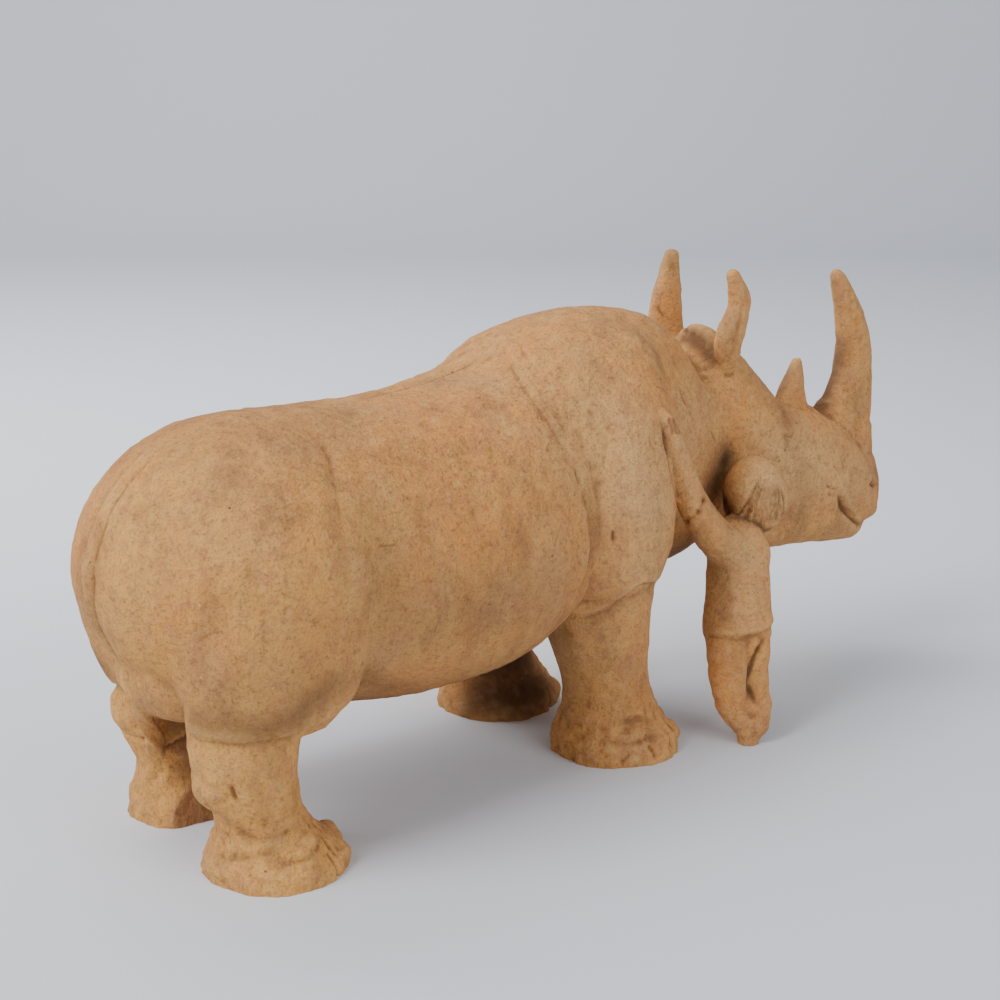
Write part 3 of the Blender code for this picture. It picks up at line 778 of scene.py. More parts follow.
@dataclass
class Head:
    """Crown, cheeks and snout over a separate jaw."""

    # Along the head, level of the widest part, half width, height above, depth below
    upper: tuple[Row, ...] = (
        (-14, 150, 34, 60, 46),
        (0, 150, 38, 79, 50),
        (20, 144, 40, 72, 50),
        (38, 136, 39, 62, 48),
        (60, 128, 35, 47, 36),
        (90, 121, 31, 48, 30),
        (112, 116, 28, 38, 27),
        (124, 111, 25, 33, 25),
        (133, 108, 20, 32, 21),
    )
    jaw: tuple[Row, ...] = (
        (14, 106, 33, 18, 16),
        (40, 101, 33, 20, 19),
        (65, 100, 31, 20, 19.5),
        (95, 98, 28, 17, 20),
        (118, 93, 22, 13, 17),
        (125, 90, 17, 10, 13.5),
    )
    lip: Point = (128, 0, 98)
    lip_radii: Point = (17, 20, 12)

    def build(self, lump: Lump) -> None:
        """Adds the head above and below the mouth."""
        facing = on_head(1, 0, 0) - on_head(0, 0, 0)
        for stations, dome in ((self.upper, 0.5), (self.jaw, 0.6)):
            rows = [(*on_head(along, 0, level), *reach) for along, level, *reach in stations]
            lump.add_skin(rows, (0, 0, 1), facing=facing, dome=dome, square=0.92)
        lump.add_ball(on_head(*self.lip), self.lip_radii, -HEAD_TURN)

    def work(self, clay: Clay) -> None:
        """Works the ditch behind the crown, eyes, nostrils, mouth and jaw."""
        ditch = [(-12, -32, 200), (-12, -18, 216), (-12, 0, 222), (-12, 18, 216), (-12, 32, 200)]
        clay.groove(over_head(*ditch), 5, 3.2)
        clay.groove([(238, 10, 225), (232, 0, 220), (227, -10, 216), (224, -26, 211)], 1.6, 1.6, dirt_and_shade=0.7)
        clay.groove([(229, -6, 214), (226, -16, 210), (223, -27, 205)], 1.3, 1.2, dirt_and_shade=0.6)
        clay.groove([(233, 4, 223), (229, -8, 221), (226, -18, 217)], 1.1, 0.7, dirt_and_shade=0.4)
        clay.groove([(224, -4, 212), (222, -12, 208)], 1.1, 0.7, dirt_and_shade=0.35)
        for path in both_cheeks([(264, -43, 172), (270, -42, 175), (278, -38, 176), (286, -35, 171)]):
            clay.groove(path, 1.8, -0.7, fade=0.2)
        for path in both_cheeks([(265, -45, 165), (272, -44, 162), (280, -42, 162), (286, -39, 166)]):
            clay.groove(path, 1.8, -0.6, fade=0.2)
            clay.groove(shifted(path, up=-3), 1.6, 0.6)
        for path in both_cheeks([(268, -43, 169), (275, -42, 168), (283, -39, 168)]):
            clay.groove(path, 2, 0.5)
        for pit in ((290, -38, 164), (268, -48, 152), (280, -47, 151), (262, -46, 146)):
            clay.dent(pit, 1.3, 0.8, dirt_and_shade=0.3)
        for path in both_cheeks([(347, -53, 118), (353, -52, 116), (360, -50, 113)]):
            clay.groove(shifted(path, up=5), 3, -0.8)
            clay.groove(path, 1.7, 2.2, fade=0.3, dirt_and_shade=0.55)
        clay.dent((353, -52, 119), 1.8, 1.4, dirt_and_shade=0.5)
        mouth = [(317, -50, 119), (321, -49, 112), (327, -48, 104), (336, -48, 96), (346, -47, 90),
                 (353, -43, 88)]
        for path in both_cheeks(mouth):
            clay.groove(shifted(path, ahead=4, up=4), 3, -0.9)
            clay.groove(path, 1.9, 3.0, fade=0.3, dirt_and_shade=0.6)
        for path in both_cheeks([(306, -51, 124), (311, -51, 121), (318, -50, 119)]):
            clay.groove(path, 1.1, 0.8, dirt_and_shade=0.2)
            clay.groove(shifted(path, ahead=1, up=-5), 1.1, 0.7, dirt_and_shade=0.2)
        for path in both_cheeks([(262, -42, 108), (280, -44, 106), (300, -46, 103), (324, -48, 94)]):
            clay.groove(path, 5, 0.5)
        for path in both_cheeks([(232, -40, 182), (240, -41, 176), (246, -42, 164), (248, -42, 150)]):
            clay.groove(path, 7, -0.6)
        clay.dent(on_head(112, -16, 132), 9, -1.0)

    def stain_and_shade(self, clay: Clay) -> None:
        """Paints shade in the hollow behind the crown, darkens the eye and the nose a little, pales the
        cheeks and reddens the eye.
        """
        # Painted shade, partly dark as dirt, in the hollow behind the crown
        behind_crown = [(233, 5, 219), (230, -5, 218), (228, -14, 216), (224, -26, 211)]
        for rise in (0, 5):
            clay.paint(StainAndShade.SMOKE, shifted(behind_crown, up=rise), 4.5, 1.0)
        clay.paint(StainAndShade.DIRT_AND_SHADE, [(231, -4, 222), (229, -13, 220), (225, -23, 215)], 4.5, 0.35)
        clay.paint(StainAndShade.SMOKE, [(277, -42, 172), (275, -44, 164), (270, -46, 158)], 5, 0.3)
        for path in both_cheeks([(262, -46, 150), (290, -46, 140), (320, -46, 124)]):
            clay.paint(StainAndShade.PALE, path, 24, 0.55)
        clay.paint(StainAndShade.SMOKE, over_head((126, -22, 122), (136, -14, 120)), 7, 0.2)
        clay.paint(StainAndShade.RUDDY, [(268, -43, 169), (277, -41, 169), (285, -38, 168)], 6, 0.5)
        clay.paint(StainAndShade.RUDDY, over_head((130, -20, 118), (138, -10, 112)), 12, 0.6)


@dataclass
class Horns:
    """The tall front horn, curving back, and the short one behind it."""

    # Along the head, height above the ground, half width, reach fore and aft
    tall: tuple[Row, ...] = (
        (119, 136, 17, 22),
        (116.5, 154, 13.5, 24.5),
        (121, 166, 12, 19.5),
        (124, 182, 11, 15.2),
        (125, 203, 9.8, 12.9),
        (119.8, 224, 7.8, 10.3),
        (111.5, 244, 5.4, 6.9),
        (107, 252, 3.8, 4.6),
    )
    short: tuple[Row, ...] = (
        (74, 160, 12, 16),
        (75, 174, 8.5, 11),
        (77, 188, 5.8, 6.8),
        (78.5, 198, 3.6, 4),
    )

    def build(self, lump: Lump) -> None:
        """Adds both horns."""
        ahead = on_head(1, 0, 0) - on_head(0, 0, 0)
        for rows in (self.tall, self.short):
            skin = [(*on_head(along, 0, rise), wide, fore, fore) for along, rise, wide, fore in rows]
            lump.add_skin(skin, ahead, dome=0.9)

    def work(self, clay: Clay) -> None:
        """Presses the roots in and nicks the horns."""
        clay.groove(over_head((97, -9, 178), (96, -10, 166), (98, -12, 156)), 5, 1.6)
        clay.groove(over_head((97, -3, 153), (99, -10, 151), (104, -15, 148)), 1.3, 1.2, dirt_and_shade=0.3)
        clay.groove(over_head((108, -17, 146), (116, -18, 143), (126, -17, 141)), 4, 0.5)
        for rise, along in ((168, 112), (176, 118), (190, 122), (214, 120), (236, 113)):
            nick = over_head((along, -12, rise), (along + 2, -12, rise + 9))
            clay.groove(nick, 1.1, 0.4, dirt_and_shade=0.05)
        clay.dent(on_head(99, -8, 246), 1.6, 0.5, dirt_and_shade=0.3)
        clay.groove(over_head((72, -9, 184), (75, -9, 172), (77, -10, 162)), 2, 0.4)

    def stain_and_shade(self, clay: Clay) -> None:
        """Greys the tall horn's tip with smoke, and paints shade on the shaded backs of both horns."""
        clay.paint(StainAndShade.SMOKE, over_head((98, -3, 246), (102, -4, 234)), 4, 0.4)
        # Painted shade, partly dark as dirt, on the shaded back of the tall horn
        clay.paint(StainAndShade.SMOKE, [(344, -28, 206), (342, -25, 190), (339, -22, 178), (329, -24, 167)], 8, 1.0)
        clay.paint(StainAndShade.DIRT_AND_SHADE, [(342, -25, 196), (340, -22, 182), (334, -23, 173), (328, -24, 167)], 7, 0.4)
        # Painted shade on the shaded back of the short horn
        clay.paint(StainAndShade.SMOKE, [(297, -14, 177), (301, -17, 184), (304, -18, 193)], 4, 0.9)


@dataclass
class Ears:
    """Two tall upright ears."""

    # Along the head, out to its left, height above the ground, half width, half thickness
    near: tuple[Row, ...] = (
        (4, -20, 199, 5, 5),
        (3, -24, 206, 7, 6),
        (2, -28, 214, 9, 7),
        (1, -32, 225, 10.5, 7),
        (3, -33, 234, 9.2, 6.6),
        (6, -33, 241, 8.2, 6.2),
        (6, -33, 249, 7.6, 5.6),
        (2, -34, 258, 5.6, 4.6),
        (-1.5, -35, 264, 4.2, 3.8),
    )
    far: tuple[Row, ...] = (
        (0, 24, 198, 8, 8),
        (0, 30, 212, 12.5, 8),
        (0, 33, 226, 13, 7.5),
        (1, 34, 242, 11, 7),
        (3, 35, 256, 7.5, 5.5),
        (5, 36, 267.5, 5, 4.6),
    )

    def build(self, lump: Lump) -> None:
        """Adds both ears."""
        left = on_head(0, 1, 0) - on_head(0, 0, 0)
        for rows in (self.near, self.far):
            skin = [(*on_head(*place), wide, thick, thick) for *place, wide, thick in rows]
            lump.add_skin(skin, left, dome=0.7)

    def work(self, clay: Clay) -> None:
        """Hollows the ears towards the front and pinches their folds."""
        for way in (-1, 1):
            clay.groove(over_head((10, 32 * way, 215), (12, 33 * way, 230), (14, 34 * way, 245)), 4, 3)
        clay.groove([(226, -41, 262), (229, -42, 250), (225, -41, 238), (221, -41, 226)], 2.4, -0.7)
        inner_fold = [(231, -41, 250), (229, -42, 240), (226, -42, 228), (225, -41, 214)]
        clay.groove(inner_fold, 1.6, 0.8, dirt_and_shade=0.08)
        clay.lap([(224, -37, 242), (222, -35, 238), (222, -32, 233)], 3, 1.0, dirt_and_shade=0.3)
        clay.groove([(224, -37, 203), (229, -38, 202), (234, -37, 203)], 1.0, 0.5, fade=0.1, dirt_and_shade=0.3)
        clay.groove([(231, 28, 236), (233, 25, 231)], 1.0, 0.7, fade=0, dirt_and_shade=0.5)
        for z in (259, 262):
            clay.groove([(236, 24, z), (241, 23, z), (247, 27, z), (246, 34, z)], 1.0, 0.4, dirt_and_shade=0.1)

    def stain_and_shade(self, clay: Clay) -> None:
        """Darkens the far ear's tip."""
        clay.paint(StainAndShade.SMOKE, [(241, 28, 270), (241, 28, 263)], 5, 0.55)


@dataclass
class Legs:
    """Two pillars in front and two legs with standing-out hocks behind, each on a spreading foot."""

    front_feet: tuple = ((Side.RIGHT, (119.0, -50.0)), (Side.LEFT, (116.0, 48.0)))
    hind_feet: tuple = ((Side.RIGHT, (-116.0, -45.0)), (Side.LEFT, (-105.0, 46.0)))
    # x and y from the middle of the foot, height above the ground, half width, reach forward, reach back
    pillar: tuple[Row, ...] = (
        (-9, -4, 125, 30, 36, 36),
        (-13, -2, 100, 29, 34, 36),
        (-14, 0, 78, 28, 32, 33),
        (-9, 0, 52, 25, 26, 27),
        (-6, 0, 36, 24.5, 25, 25),
        (-3, 0, 20, 29, 30, 30),
        (0, 0, 9, 36, 35, 36.5),
        (0, 0, -6, 37, 36, 37.5),
    )
    hind_leg: tuple[Row, ...] = (
        (-12, -3, 105, 32, 34, 32),
        (-14, -2, 82, 28, 31, 28.5),
        (-15, -1, 63, 26.5, 27, 27.5),
        (-13, 0, 44, 24, 24, 25),
        (-8, 0, 30, 22.5, 21.5, 24),
        (-4, 0, 18, 29, 25, 29),
        (0, 0, 9, 36, 31, 36.5),
        (0, 0, -6, 37, 36, 37.5),
    )
    # How far back from the middle of each hind foot its hock stands out, at what level, and its size
    hocks: tuple[Point, ...] = ((-20.0, 2.0, 51.0), (-22.0, 2.0, 62.0))
    hock_radii: Point = (23, 22, 18)
    # The toes' reach from the middle of a foot, their sizes, and their level on fore and hind feet
    toe_reach: tuple[float, float] = (28.5, 27.5)
    toe_radii: Point = (11, 10, 8)
    toe_levels: tuple[float, float] = (7.5, 5.0)
    # Round the front of each foot, in degrees
    toes: tuple[float, ...] = (-46, 0, 46)
    clefts: tuple[float, ...] = (-70, -23, 23, 70)
    # The wrinkles over the right feet
    wrinkles: tuple[tuple[Point, ...], ...] = (
        ((-157, -44, 18), (-150, -54, 16), (-138, -68, 19)),
        ((-150, -60, 29), (-136, -68, 27), (-118, -70, 29)),
        ((-135, -72, 15), (-118, -76, 14), (-104, -70, 20)),
        ((-157, -40, 28), (-150, -53, 26)),
        ((88, -72, 18), (102, -80, 14), (120, -84, 16)),
        ((100, -76, 26), (118, -78, 24)),
    )

    def build(self, lump: Lump) -> None:
        """Adds the four legs with their toes and hocks."""
        kinds = zip((self.front_feet, self.hind_feet), (self.pillar, self.hind_leg), self.toe_levels)
        for feet, rows, toe_level in kinds:
            for side, (foot_x, foot_y) in feet:
                leg = [(foot_x + x, foot_y + y * side.value, *reach) for x, y, *reach in rows]
                lump.add_skin(leg, (1, 0, 0), facing=(0, 0, -1), dome=0.1)
                for angle in self.toes:
                    way = math.radians(angle)
                    ahead, aside = self.toe_reach[0] * math.cos(way), self.toe_reach[1] * math.sin(way)
                    lump.add_ball((foot_x + ahead, foot_y + aside, toe_level), self.toe_radii)
        for (_, (foot_x, foot_y)), (x, y, z) in zip(self.hind_feet, self.hocks):
            lump.add_ball((foot_x + x, foot_y + y, z), self.hock_radii)

    def work(self, clay: Clay) -> None:
        """Works the clefts between the toes, the hocks and the wrinkles above the feet."""
        for _, (x, y) in self.front_feet + self.hind_feet:
            for angle in self.clefts:
                way = math.radians(angle)
                cleft = [
                    (x + ahead * math.cos(way), y + aside * math.sin(way), z)
                    for ahead, aside, z in ((36, 35, 14), (40, 38, 7), (40, 38, -3))
                ]
                clay.groove(cleft, 1.8, 1.6, fade=0, dirt_and_shade=0.1)
        clay.groove([(-157, -43, 46), (-155, -50, 45), (-152, -57, 48), (-150, -61, 56)], 3.2, 1.2)
        clay.groove([(-151, -61, 58), (-149, -60, 52), (-147, -62, 46)], 1.5, 2.0, fade=0.3, dirt_and_shade=0.55)
        clay.groove([(-138, -69, 62), (-130, -71, 58)], 1.2, 0.5, dirt_and_shade=0.1)
        ankle = [(-152, -45, 20), (-148, -53, 18), (-142, -62, 20), (-127, -73, 18), (-115, -74, 19)]
        clay.groove(ankle, 2.5, 0.8)
        clay.groove([(-103, -68, 19), (-101, -73, 14), (-99, -77, 9)], 1.2, 1.1, dirt_and_shade=0.35)
        for path in self.wrinkles:
            clay.groove(path, 1.5, 0.9)
            clay.groove(shifted(path, up=4), 2.2, -0.7)
        clay.groove([(111, -84, 12), (115, -86, 8), (116, -86, 2)], 1.2, 1.4, dirt_and_shade=0.3)
        clay.groove([(136, -75, 19), (140, -79, 12)], 1.3, 1.3, fade=0, dirt_and_shade=0.4)
        clay.groove([(97, -79, 4), (102, -81, 9)], 1.1, 0.8, fade=0, dirt_and_shade=0.2)
        for aside in (0, 9):
            clay.groove([(-146, 50 - aside, 50), (-142, 36 - aside, 48), (-134, 26, 45)], 1.6, 1.1, dirt_and_shade=0.2)
        clay.dent((74, -55, 80), 4, 0.8, dirt_and_shade=0.4)
        clay.slice_off((-112, 18, 8), (-0.24, -0.96, 0.12), 44, 13)

    def stain_and_shade(self, clay: Clay) -> None:
        """Paints shade on the insides of the legs, most on the far front leg, darkens the wrinkles, and
        warms the hind legs.
        """
        # Painted shade on the inside of each leg
        for side, (x, y) in self.front_feet + self.hind_feet:
            inner = y - 24 * side.value
            clay.paint(StainAndShade.SMOKE, [(x - 8, inner, 66), (x - 6, inner, 40), (x - 2, inner, 10)], 15, 0.85)
        # Painted shade, partly dark as dirt, on the far front leg under the belly
        for z in (14, 34, 54):
            clay.paint(StainAndShade.SMOKE, [(92, 26, z), (100, 18, z), (120, 18, z)], 16, 1.0)
            clay.paint(StainAndShade.DIRT_AND_SHADE, [(88, 30, z), (104, 20, z), (122, 22, z)], 14, 0.45)
        clay.paint(StainAndShade.OCHRE, [(-150, -52, 74), (-140, -66, 40), (-125, -76, 12)], 34, 1.0)
        clay.paint(StainAndShade.OCHRE, [(-150, 44, 66), (-140, 40, 40), (-132, 36, 12)], 30, 1.0)
        for path in self.wrinkles:
            clay.paint(StainAndShade.SMOKE, path, 2.5, 0.4)
        clay.paint(StainAndShade.SMOKE, [(118, -80, 44), (106, -78, 56), (92, -72, 62)], 10, 0.2)


@dataclass
class Tail:
    """The tail pressed on to the rump as a band, with its end hanging free."""

    band: tuple[Point, ...] = (
        (-138, 6, 215), (-158, 7, 201), (-172, 8, 184), (-181, 8, 162), (-184, 8, 140), (-181, 8, 118),
        (-172, 7, 100), (-163, 5, 88),
    )
    half_width: float = 6
    end: tuple[Row, ...] = (
        (-162, 4, 88, 4.6), (-157, 8, 78, 4), (-150, 15, 66, 3.8), (-144, 20, 55, 3.6), (-139, 25, 45, 3),
    )
    # The tuft's strands: how many, how far out, how thick for the tail's own, and their twist at each row
    strands: int = 3
    strand_off: float = 3.6
    strand_share: float = 0.6
    strand_twist: float = 0.9

    def build(self, lump: Lump) -> None:
        """Adds the tail's end and the strands of its tuft."""
        lump.add_limb(self.end)
        for strand in range(self.strands):
            rows = []
            for step, (x, y, z, radius) in enumerate(self.end[1:]):
                angle = strand * 2.1 + self.strand_twist * step
                x += self.strand_off * math.cos(angle)
                y += self.strand_off * math.sin(angle)
                rows.append((x, y, z - 1, self.strand_share * radius))
            lump.add_limb(rows)

    def work(self, clay: Clay) -> None:
        """Presses a groove along each side of the band."""
        clay.groove(self.band, 4.4, -1.4, fade=0.3)
        for off in (-self.half_width, self.half_width):
            clay.groove(shifted(self.band, left=off), 1.5, 1.1, fade=0.2, dirt_and_shade=0.12)
        beside = shifted(self.band[4:], left=-self.half_width - 1)
        clay.groove(beside, 1.3, 0.8, fade=0.3, dirt_and_shade=0.25)

    def stain_and_shade(self, clay: Clay) -> None:
        """Paints shade on the tail's end and in the hollow behind it, and warms the band's lower end."""
        # Painted shade between the hind legs
        clay.paint(StainAndShade.SMOKE, [(-140, 14, 84), (-132, 18, 74), (-128, 18, 58)], 14, 0.9)
        clay.paint(StainAndShade.SMOKE, [(-140, -10, 80), (-146, 0, 76)], 10, 0.8)
        clay.paint(StainAndShade.OCHRE, [(-172, 4, 104), (-162, 4, 86)], 10, 0.7)


@dataclass
class Person:
    """The person who hangs on the cheek: head, back, legs and both arms."""

    head: Point = (222, -63.5, 134.5)
    head_radii: Point = (20, 20, 24)
    torso: tuple[Row, ...] = (
        (211, -63, 117, 13, 11, 11),
        (200, -71, 110, 19, 14, 12),
        (195, -75, 95, 18.5, 13, 13),
        (193, -78, 80, 19.5, 13, 13),
        (190, -81, 68, 20.5, 14, 14),
        (188, -83, 60, 20.5, 14, 14),
    )
    arm: tuple[Row, ...] = (
        (191, -73, 107, 12.5), (176.5, -76, 118, 12.5), (163.5, -76, 131, 10.5), (156, -72, 146, 9),
        (149, -70, 163, 7.5), (139, -73, 181, 6), (134, -73, 196, 5.2),
    )
    other_arm: tuple[Row, ...] = (
        (205, -62, 112, 11), (231, -48, 94, 9), (250, -28, 83, 8), (261, -8, 80, 7.5), (265, 6, 82, 6),
    )
    near_leg: tuple[Row, ...] = (
        (184, -79, 62, 13.5), (178, -85, 48, 12.8), (173, -90, 36, 11.5), (173, -94, 22, 9.5),
        (178, -100, 8, 7.5), (179, -101, 2, 7),
    )
    far_leg: tuple[Row, ...] = (
        (197, -89, 62, 9), (193, -94, 46, 7.5), (189, -98.5, 32, 7.5), (187, -102, 19, 8),
        (184, -104, 10, 7),
    )
    between_legs: tuple[Row, ...] = (
        (192, -88, 64, 9), (187, -91, 46, 8), (183, -95, 32, 7), (181, -99, 20, 6),
    )
    # The way the person's right hand points from the spine, and the way the person's back faces
    across: Point = (0.745, -0.667, 0.0)
    back: Point = (-0.667, -0.745, 0.0)
    strands: int = 17
    seed: int = 23

    def on_crown(self, aside: float, behind: float, rise: float) -> Vector:
        """Gives a place on the person's head, from its middle."""
        over = Vector(self.across) * aside + Vector(self.back) * behind
        return Vector(self.head) + over + Vector((0, 0, rise))

    def on_hair(self, aside: float, rise: float) -> Vector:
        """Gives a place on the back of the person's head."""
        flat = 1 - (aside / self.head_radii[0]) ** 2 - (rise / self.head_radii[2]) ** 2
        return self.on_crown(aside, self.head_radii[0] * math.sqrt(max(flat, 0)), rise)

    def build(self, lump: Lump) -> None:
        """Adds the person's limbs, back and head, with a plain face turned to the cheek."""
        lump.add_ball(self.head, self.head_radii)
        nose, chin, brow = (-19.5, -1, (2.6, 2.6, 5)), (-16.5, -17, (5, 5, 4)), (-17.5, 7, (6, 6, 2.4))
        for behind, rise, radii in (nose, chin, brow):
            lump.add_ball(self.on_crown(0, behind, rise), radii)
        lump.add_skin(self.torso, -Vector(self.back), dome=0.2)
        for rows in (self.arm, self.other_arm, self.near_leg, self.far_leg, self.between_legs):
            lump.add_limb(rows)

    def work(self, clay: Clay) -> None:
        """Works the hair, the sleeve, the fingers, the tunic's hem and folds, and the feet."""
        rng = np.random.default_rng(self.seed)
        for strand in range(self.strands):
            t = strand / (self.strands - 1)
            stray = rng.uniform(-1, 1, 4)
            path = [
                self.on_hair(1 + 13 * t + stray[0], 17 - 8 * t),
                self.on_hair(-5 + 20 * t + stray[1], 5 - 4 * t),
                self.on_hair(-10 + 26 * t + stray[2], -7 - 2 * t),
                self.on_hair(-11 + 27 * t + stray[3], -18 + 4 * t),
            ]
            clay.groove(path, 1.0, rng.uniform(0.8, 1.5), fade=0.2, dirt_and_shade=rng.uniform(0.3, 0.75))
        under_hair = ((-17, -6), (-12, -15), (-5, -21), (4, -22), (12, -18))
        for spots in (under_hair, ((-18, 2), (-19, -5), (-16, -11))):
            clay.groove([self.on_hair(*spot) for spot in spots], 1.8, 1.6, dirt_and_shade=0.7)
        for aside in (-6, 6):
            closed_eye = [self.on_crown(aside - 2.5, -18, 2), self.on_crown(aside + 2.5, -18, 2)]
            clay.groove(closed_eye, 1.2, 0.7, fade=0, dirt_and_shade=0.2)
        clay.groove([self.on_crown(-4, -18, -10), self.on_crown(4, -18, -10)], 1.1, 0.8, fade=0, dirt_and_shade=0.2)
        for spot in ((157, -79, 146), (155, -78, 140), (153, -74, 134)):
            clay.dent(spot, 1.5, 1.3, dirt_and_shade=0.8)
        clay.groove([(152, -72, 133), (155, -78, 140), (157, -79, 147)], 1.2, 0.9, fade=0.1, dirt_and_shade=0.3)
        for finger in range(3):
            x = 131.5 + 3.2 * finger
            between = [(x - 1.5, -78, 199), (x, -79, 194), (x + 2, -79, 187)]
            clay.groove(between, 0.9, 0.9, fade=0.1, dirt_and_shade=0.55)
        # The dark in the gap between the arm and the shoulder is dirt and painted shade
        gap = [(127, -74, 196), (129, -76, 188), (131, -77, 179), (134, -78, 168), (140, -79, 156),
               (144, -80, 147)]
        clay.groove(gap, 1.4, 1.7, dirt_and_shade=0.8)
        hem = [(168, -68, 62), (170, -80, 63), (176, -91, 63), (184, -98, 64), (194, -100, 65),
               (203, -97, 67), (206, -86, 69)]
        clay.lap(hem, 4, 1.3, dirt_and_shade=0.2)
        folds = (
            ((178, -84, 104), (181, -85, 86), (176, -88, 70)),
            ((193, -87, 100), (196, -92, 86), (194, -98, 72)),
        )
        for path in folds:
            clay.groove(path, 2.6, -0.8, fade=0.3)
            clay.groove(shifted(path, ahead=5, left=-3), 2.6, 0.7, fade=0.3)
        # Painted shade in the slit between the legs
        slit = [(195, -98, 61), (189, -97, 54), (184, -96, 45), (178, -99, 38), (180, -101, 30),
                (181, -105, 22)]
        clay.groove(slit, 1.9, 2.2, dirt_and_shade=0.75)

    def stain_and_shade(self, clay: Clay) -> None:
        """Paints shade on the person's sides towards the rhinoceros and under its shadow, pales the back,
        and reddens the feet.
        """
        # Painted shade on the side turned to the rhinoceros, and behind the arm
        clay.paint(StainAndShade.SMOKE, [(176, -68, 118), (188, -68, 104), (196, -66, 90)], 10, 0.5)
        clay.paint(StainAndShade.SMOKE, [(150, -60, 130), (160, -64, 120)], 12, 0.6)
        clay.paint(StainAndShade.RUDDY, [(175, -106, 14), (182, -109, 12)], 11, 0.6)
        # Painted shade on the left leg, in the rhinoceros's shadow
        clay.paint(StainAndShade.SMOKE, [(178, -90, 56), (172, -92, 36)], 9, 0.35)
        clay.paint(StainAndShade.PALE, [(205, -74, 122), (190, -86, 100), (186, -88, 76)], 16, 0.5)
        clay.paint(StainAndShade.PALE, [self.on_crown(2, 19, 4), self.on_crown(6, 19, 9)], 15, 0.6)
        # Painted shade, dark as dirt, in the crease under the head
        clay.paint(StainAndShade.DIRT_AND_SHADE, [(198, -66, 128), (205, -72, 123), (214, -76, 117), (224, -78, 112)], 3, 0.7)
        # Painted shadow of the rhinoceros's body on the left edge of the back
        clay.paint(StainAndShade.SMOKE, [(184, -74, 104), (179, -78, 88), (176, -82, 70)], 8, 0.5)
        # Painted shade between the arm and the rhinoceros
        clay.paint(StainAndShade.SMOKE, [(146, -66, 164), (154, -68, 146), (164, -70, 126), (176, -70, 112)], 6, 0.4)


@dataclass
class Figure:
    """The whole figure, shaped as one body of clay."""

    forms: tuple = (
        Rump(), Barrel(), Shoulders(), Neck(), Head(), Horns(), Ears(), Legs(), Tail(), Person(),
    )
    # The person's armpit and the near ear's root: middle, reach, reach of the full softening, and its rounds
    soft_places: tuple = (((186.0, -84.0, 112.0), 28, 20, 60), ((228.0, -35.0, 207.0), 17, 11, 30))
    scratches: int = 90
    pits: int = 70
    seed: int = 41

    def shape(self) -> bpy.types.Object:
        """Builds every form up, works the clay and stains it.

        Returns:
            The finished piece.
        """
        lump = Lump()
        for form in self.forms:
            form.build(lump)
            log.info("built up the %s", type(form).__name__.lower())
        clay = Clay(lump.skinned())
        self.even_out(clay)
        clay.settle()
        for form in self.forms:
            form.work(clay)
            clay.face_out()
            log.info("worked the %s", type(form).__name__.lower())
        self.handle(clay)
        for form in self.forms:
            form.stain_and_shade(clay)
        return clay.finished(NODE + "_clay")

    def even_out(self, clay: Clay) -> None:
        """Blends the haunches into the rump, the toes into the feet and the neck into the cheeks."""
        ahead, aside, level = clay.points.T
        rear = ramp(ahead, -50, -70) * ramp(level, 95, 115)
        clay.soften(0.5 * rear, 60)
        feet = (level < 26) * (level > 2)
        clay.soften(0.5 * feet, 8)
        throat = ramp(ahead, 185, 195) * ramp(ahead, 232, 222) * (aside > -52)
        clay.soften(0.5 * throat * ramp(level, 205, 190), 50)
        withers = ramp(ahead, 95, 110) * ramp(ahead, 200, 190)
        clay.soften(0.5 * withers * ramp(level, 185, 205), 100)
        jaw = ramp(ahead, 250, 258) * ramp(ahead, 316, 308)
        clay.soften(0.5 * jaw * ramp(level, 98, 104) * ramp(level, 131, 125), 60)
        for middle, none, full, rounds in self.soft_places:
            off = np.linalg.norm(clay.points - np.array(middle), axis=1)
            clay.soften(0.5 * ramp(off, none, full), rounds)

    def handle(self, clay: Clay) -> None:
        """Leaves the marks of hands and tools all over: lumps, scratches and pits."""
        ahead, _, level = clay.points.T
        low = ramp(level, 70, 40)
        feet = ramp(level, 36, 24)
        calm = np.where(ahead > 150, 0.55, 1.0) * np.where(level > 205, 0.6, 1.0)
        clay.knead(34, 0.9, 1, calm)
        clay.knead(13, 0.5, 2, calm + 0.8 * low + 1.0 * feet)
        clay.knead(6.5, 0.36, 3, 0.9 + 0.7 * low + 0.7 * feet)
        clay.knead(3.6, 0.26, 4, 0.9 + 0.6 * low + 1.3 * feet)
        clay.face_out()
        clay.settle()
        rng = np.random.default_rng(self.seed)
        spots = rng.integers(0, len(clay.points), self.scratches + self.pits)
        for spot in spots[: self.scratches]:
            start = clay.points[spot]
            across = np.cross(clay.normals[spot], rng.normal(size=3))
            bend = np.cross(clay.normals[spot], across)
            length = rng.uniform(6, 22)
            along = across / (np.linalg.norm(across) + 1e-9) * length
            bend = bend / (np.linalg.norm(bend) + 1e-9) * length * rng.uniform(-0.3, 0.3)
            path = [start, start + 0.5 * along + bend, start + along]
            clay.groove(path, rng.uniform(0.9, 1.4), rng.uniform(0.1, 0.35), fade=0.4)
        for spot in spots[self.scratches:]:
            radius, depth = rng.uniform(0.8, 1.5), rng.uniform(0.2, 0.7)
            clay.dent(clay.points[spot], radius, depth, dirt_and_shade=rng.uniform(0, 0.3))
        clay.face_out()


def linear(sheet_colour: str) -> tuple[float, float, float, float]:
    """Turns an sRGB hex value into the linear colour that a shader takes."""
    channels = [int(sheet_colour[start:start + 2], 16) / 255 for start in (1, 3, 5)]
    return (*[c / 12.92 if c <= 0.04045 else ((c + 0.055) / 1.055) ** 2.4 for c in channels], 1.0)


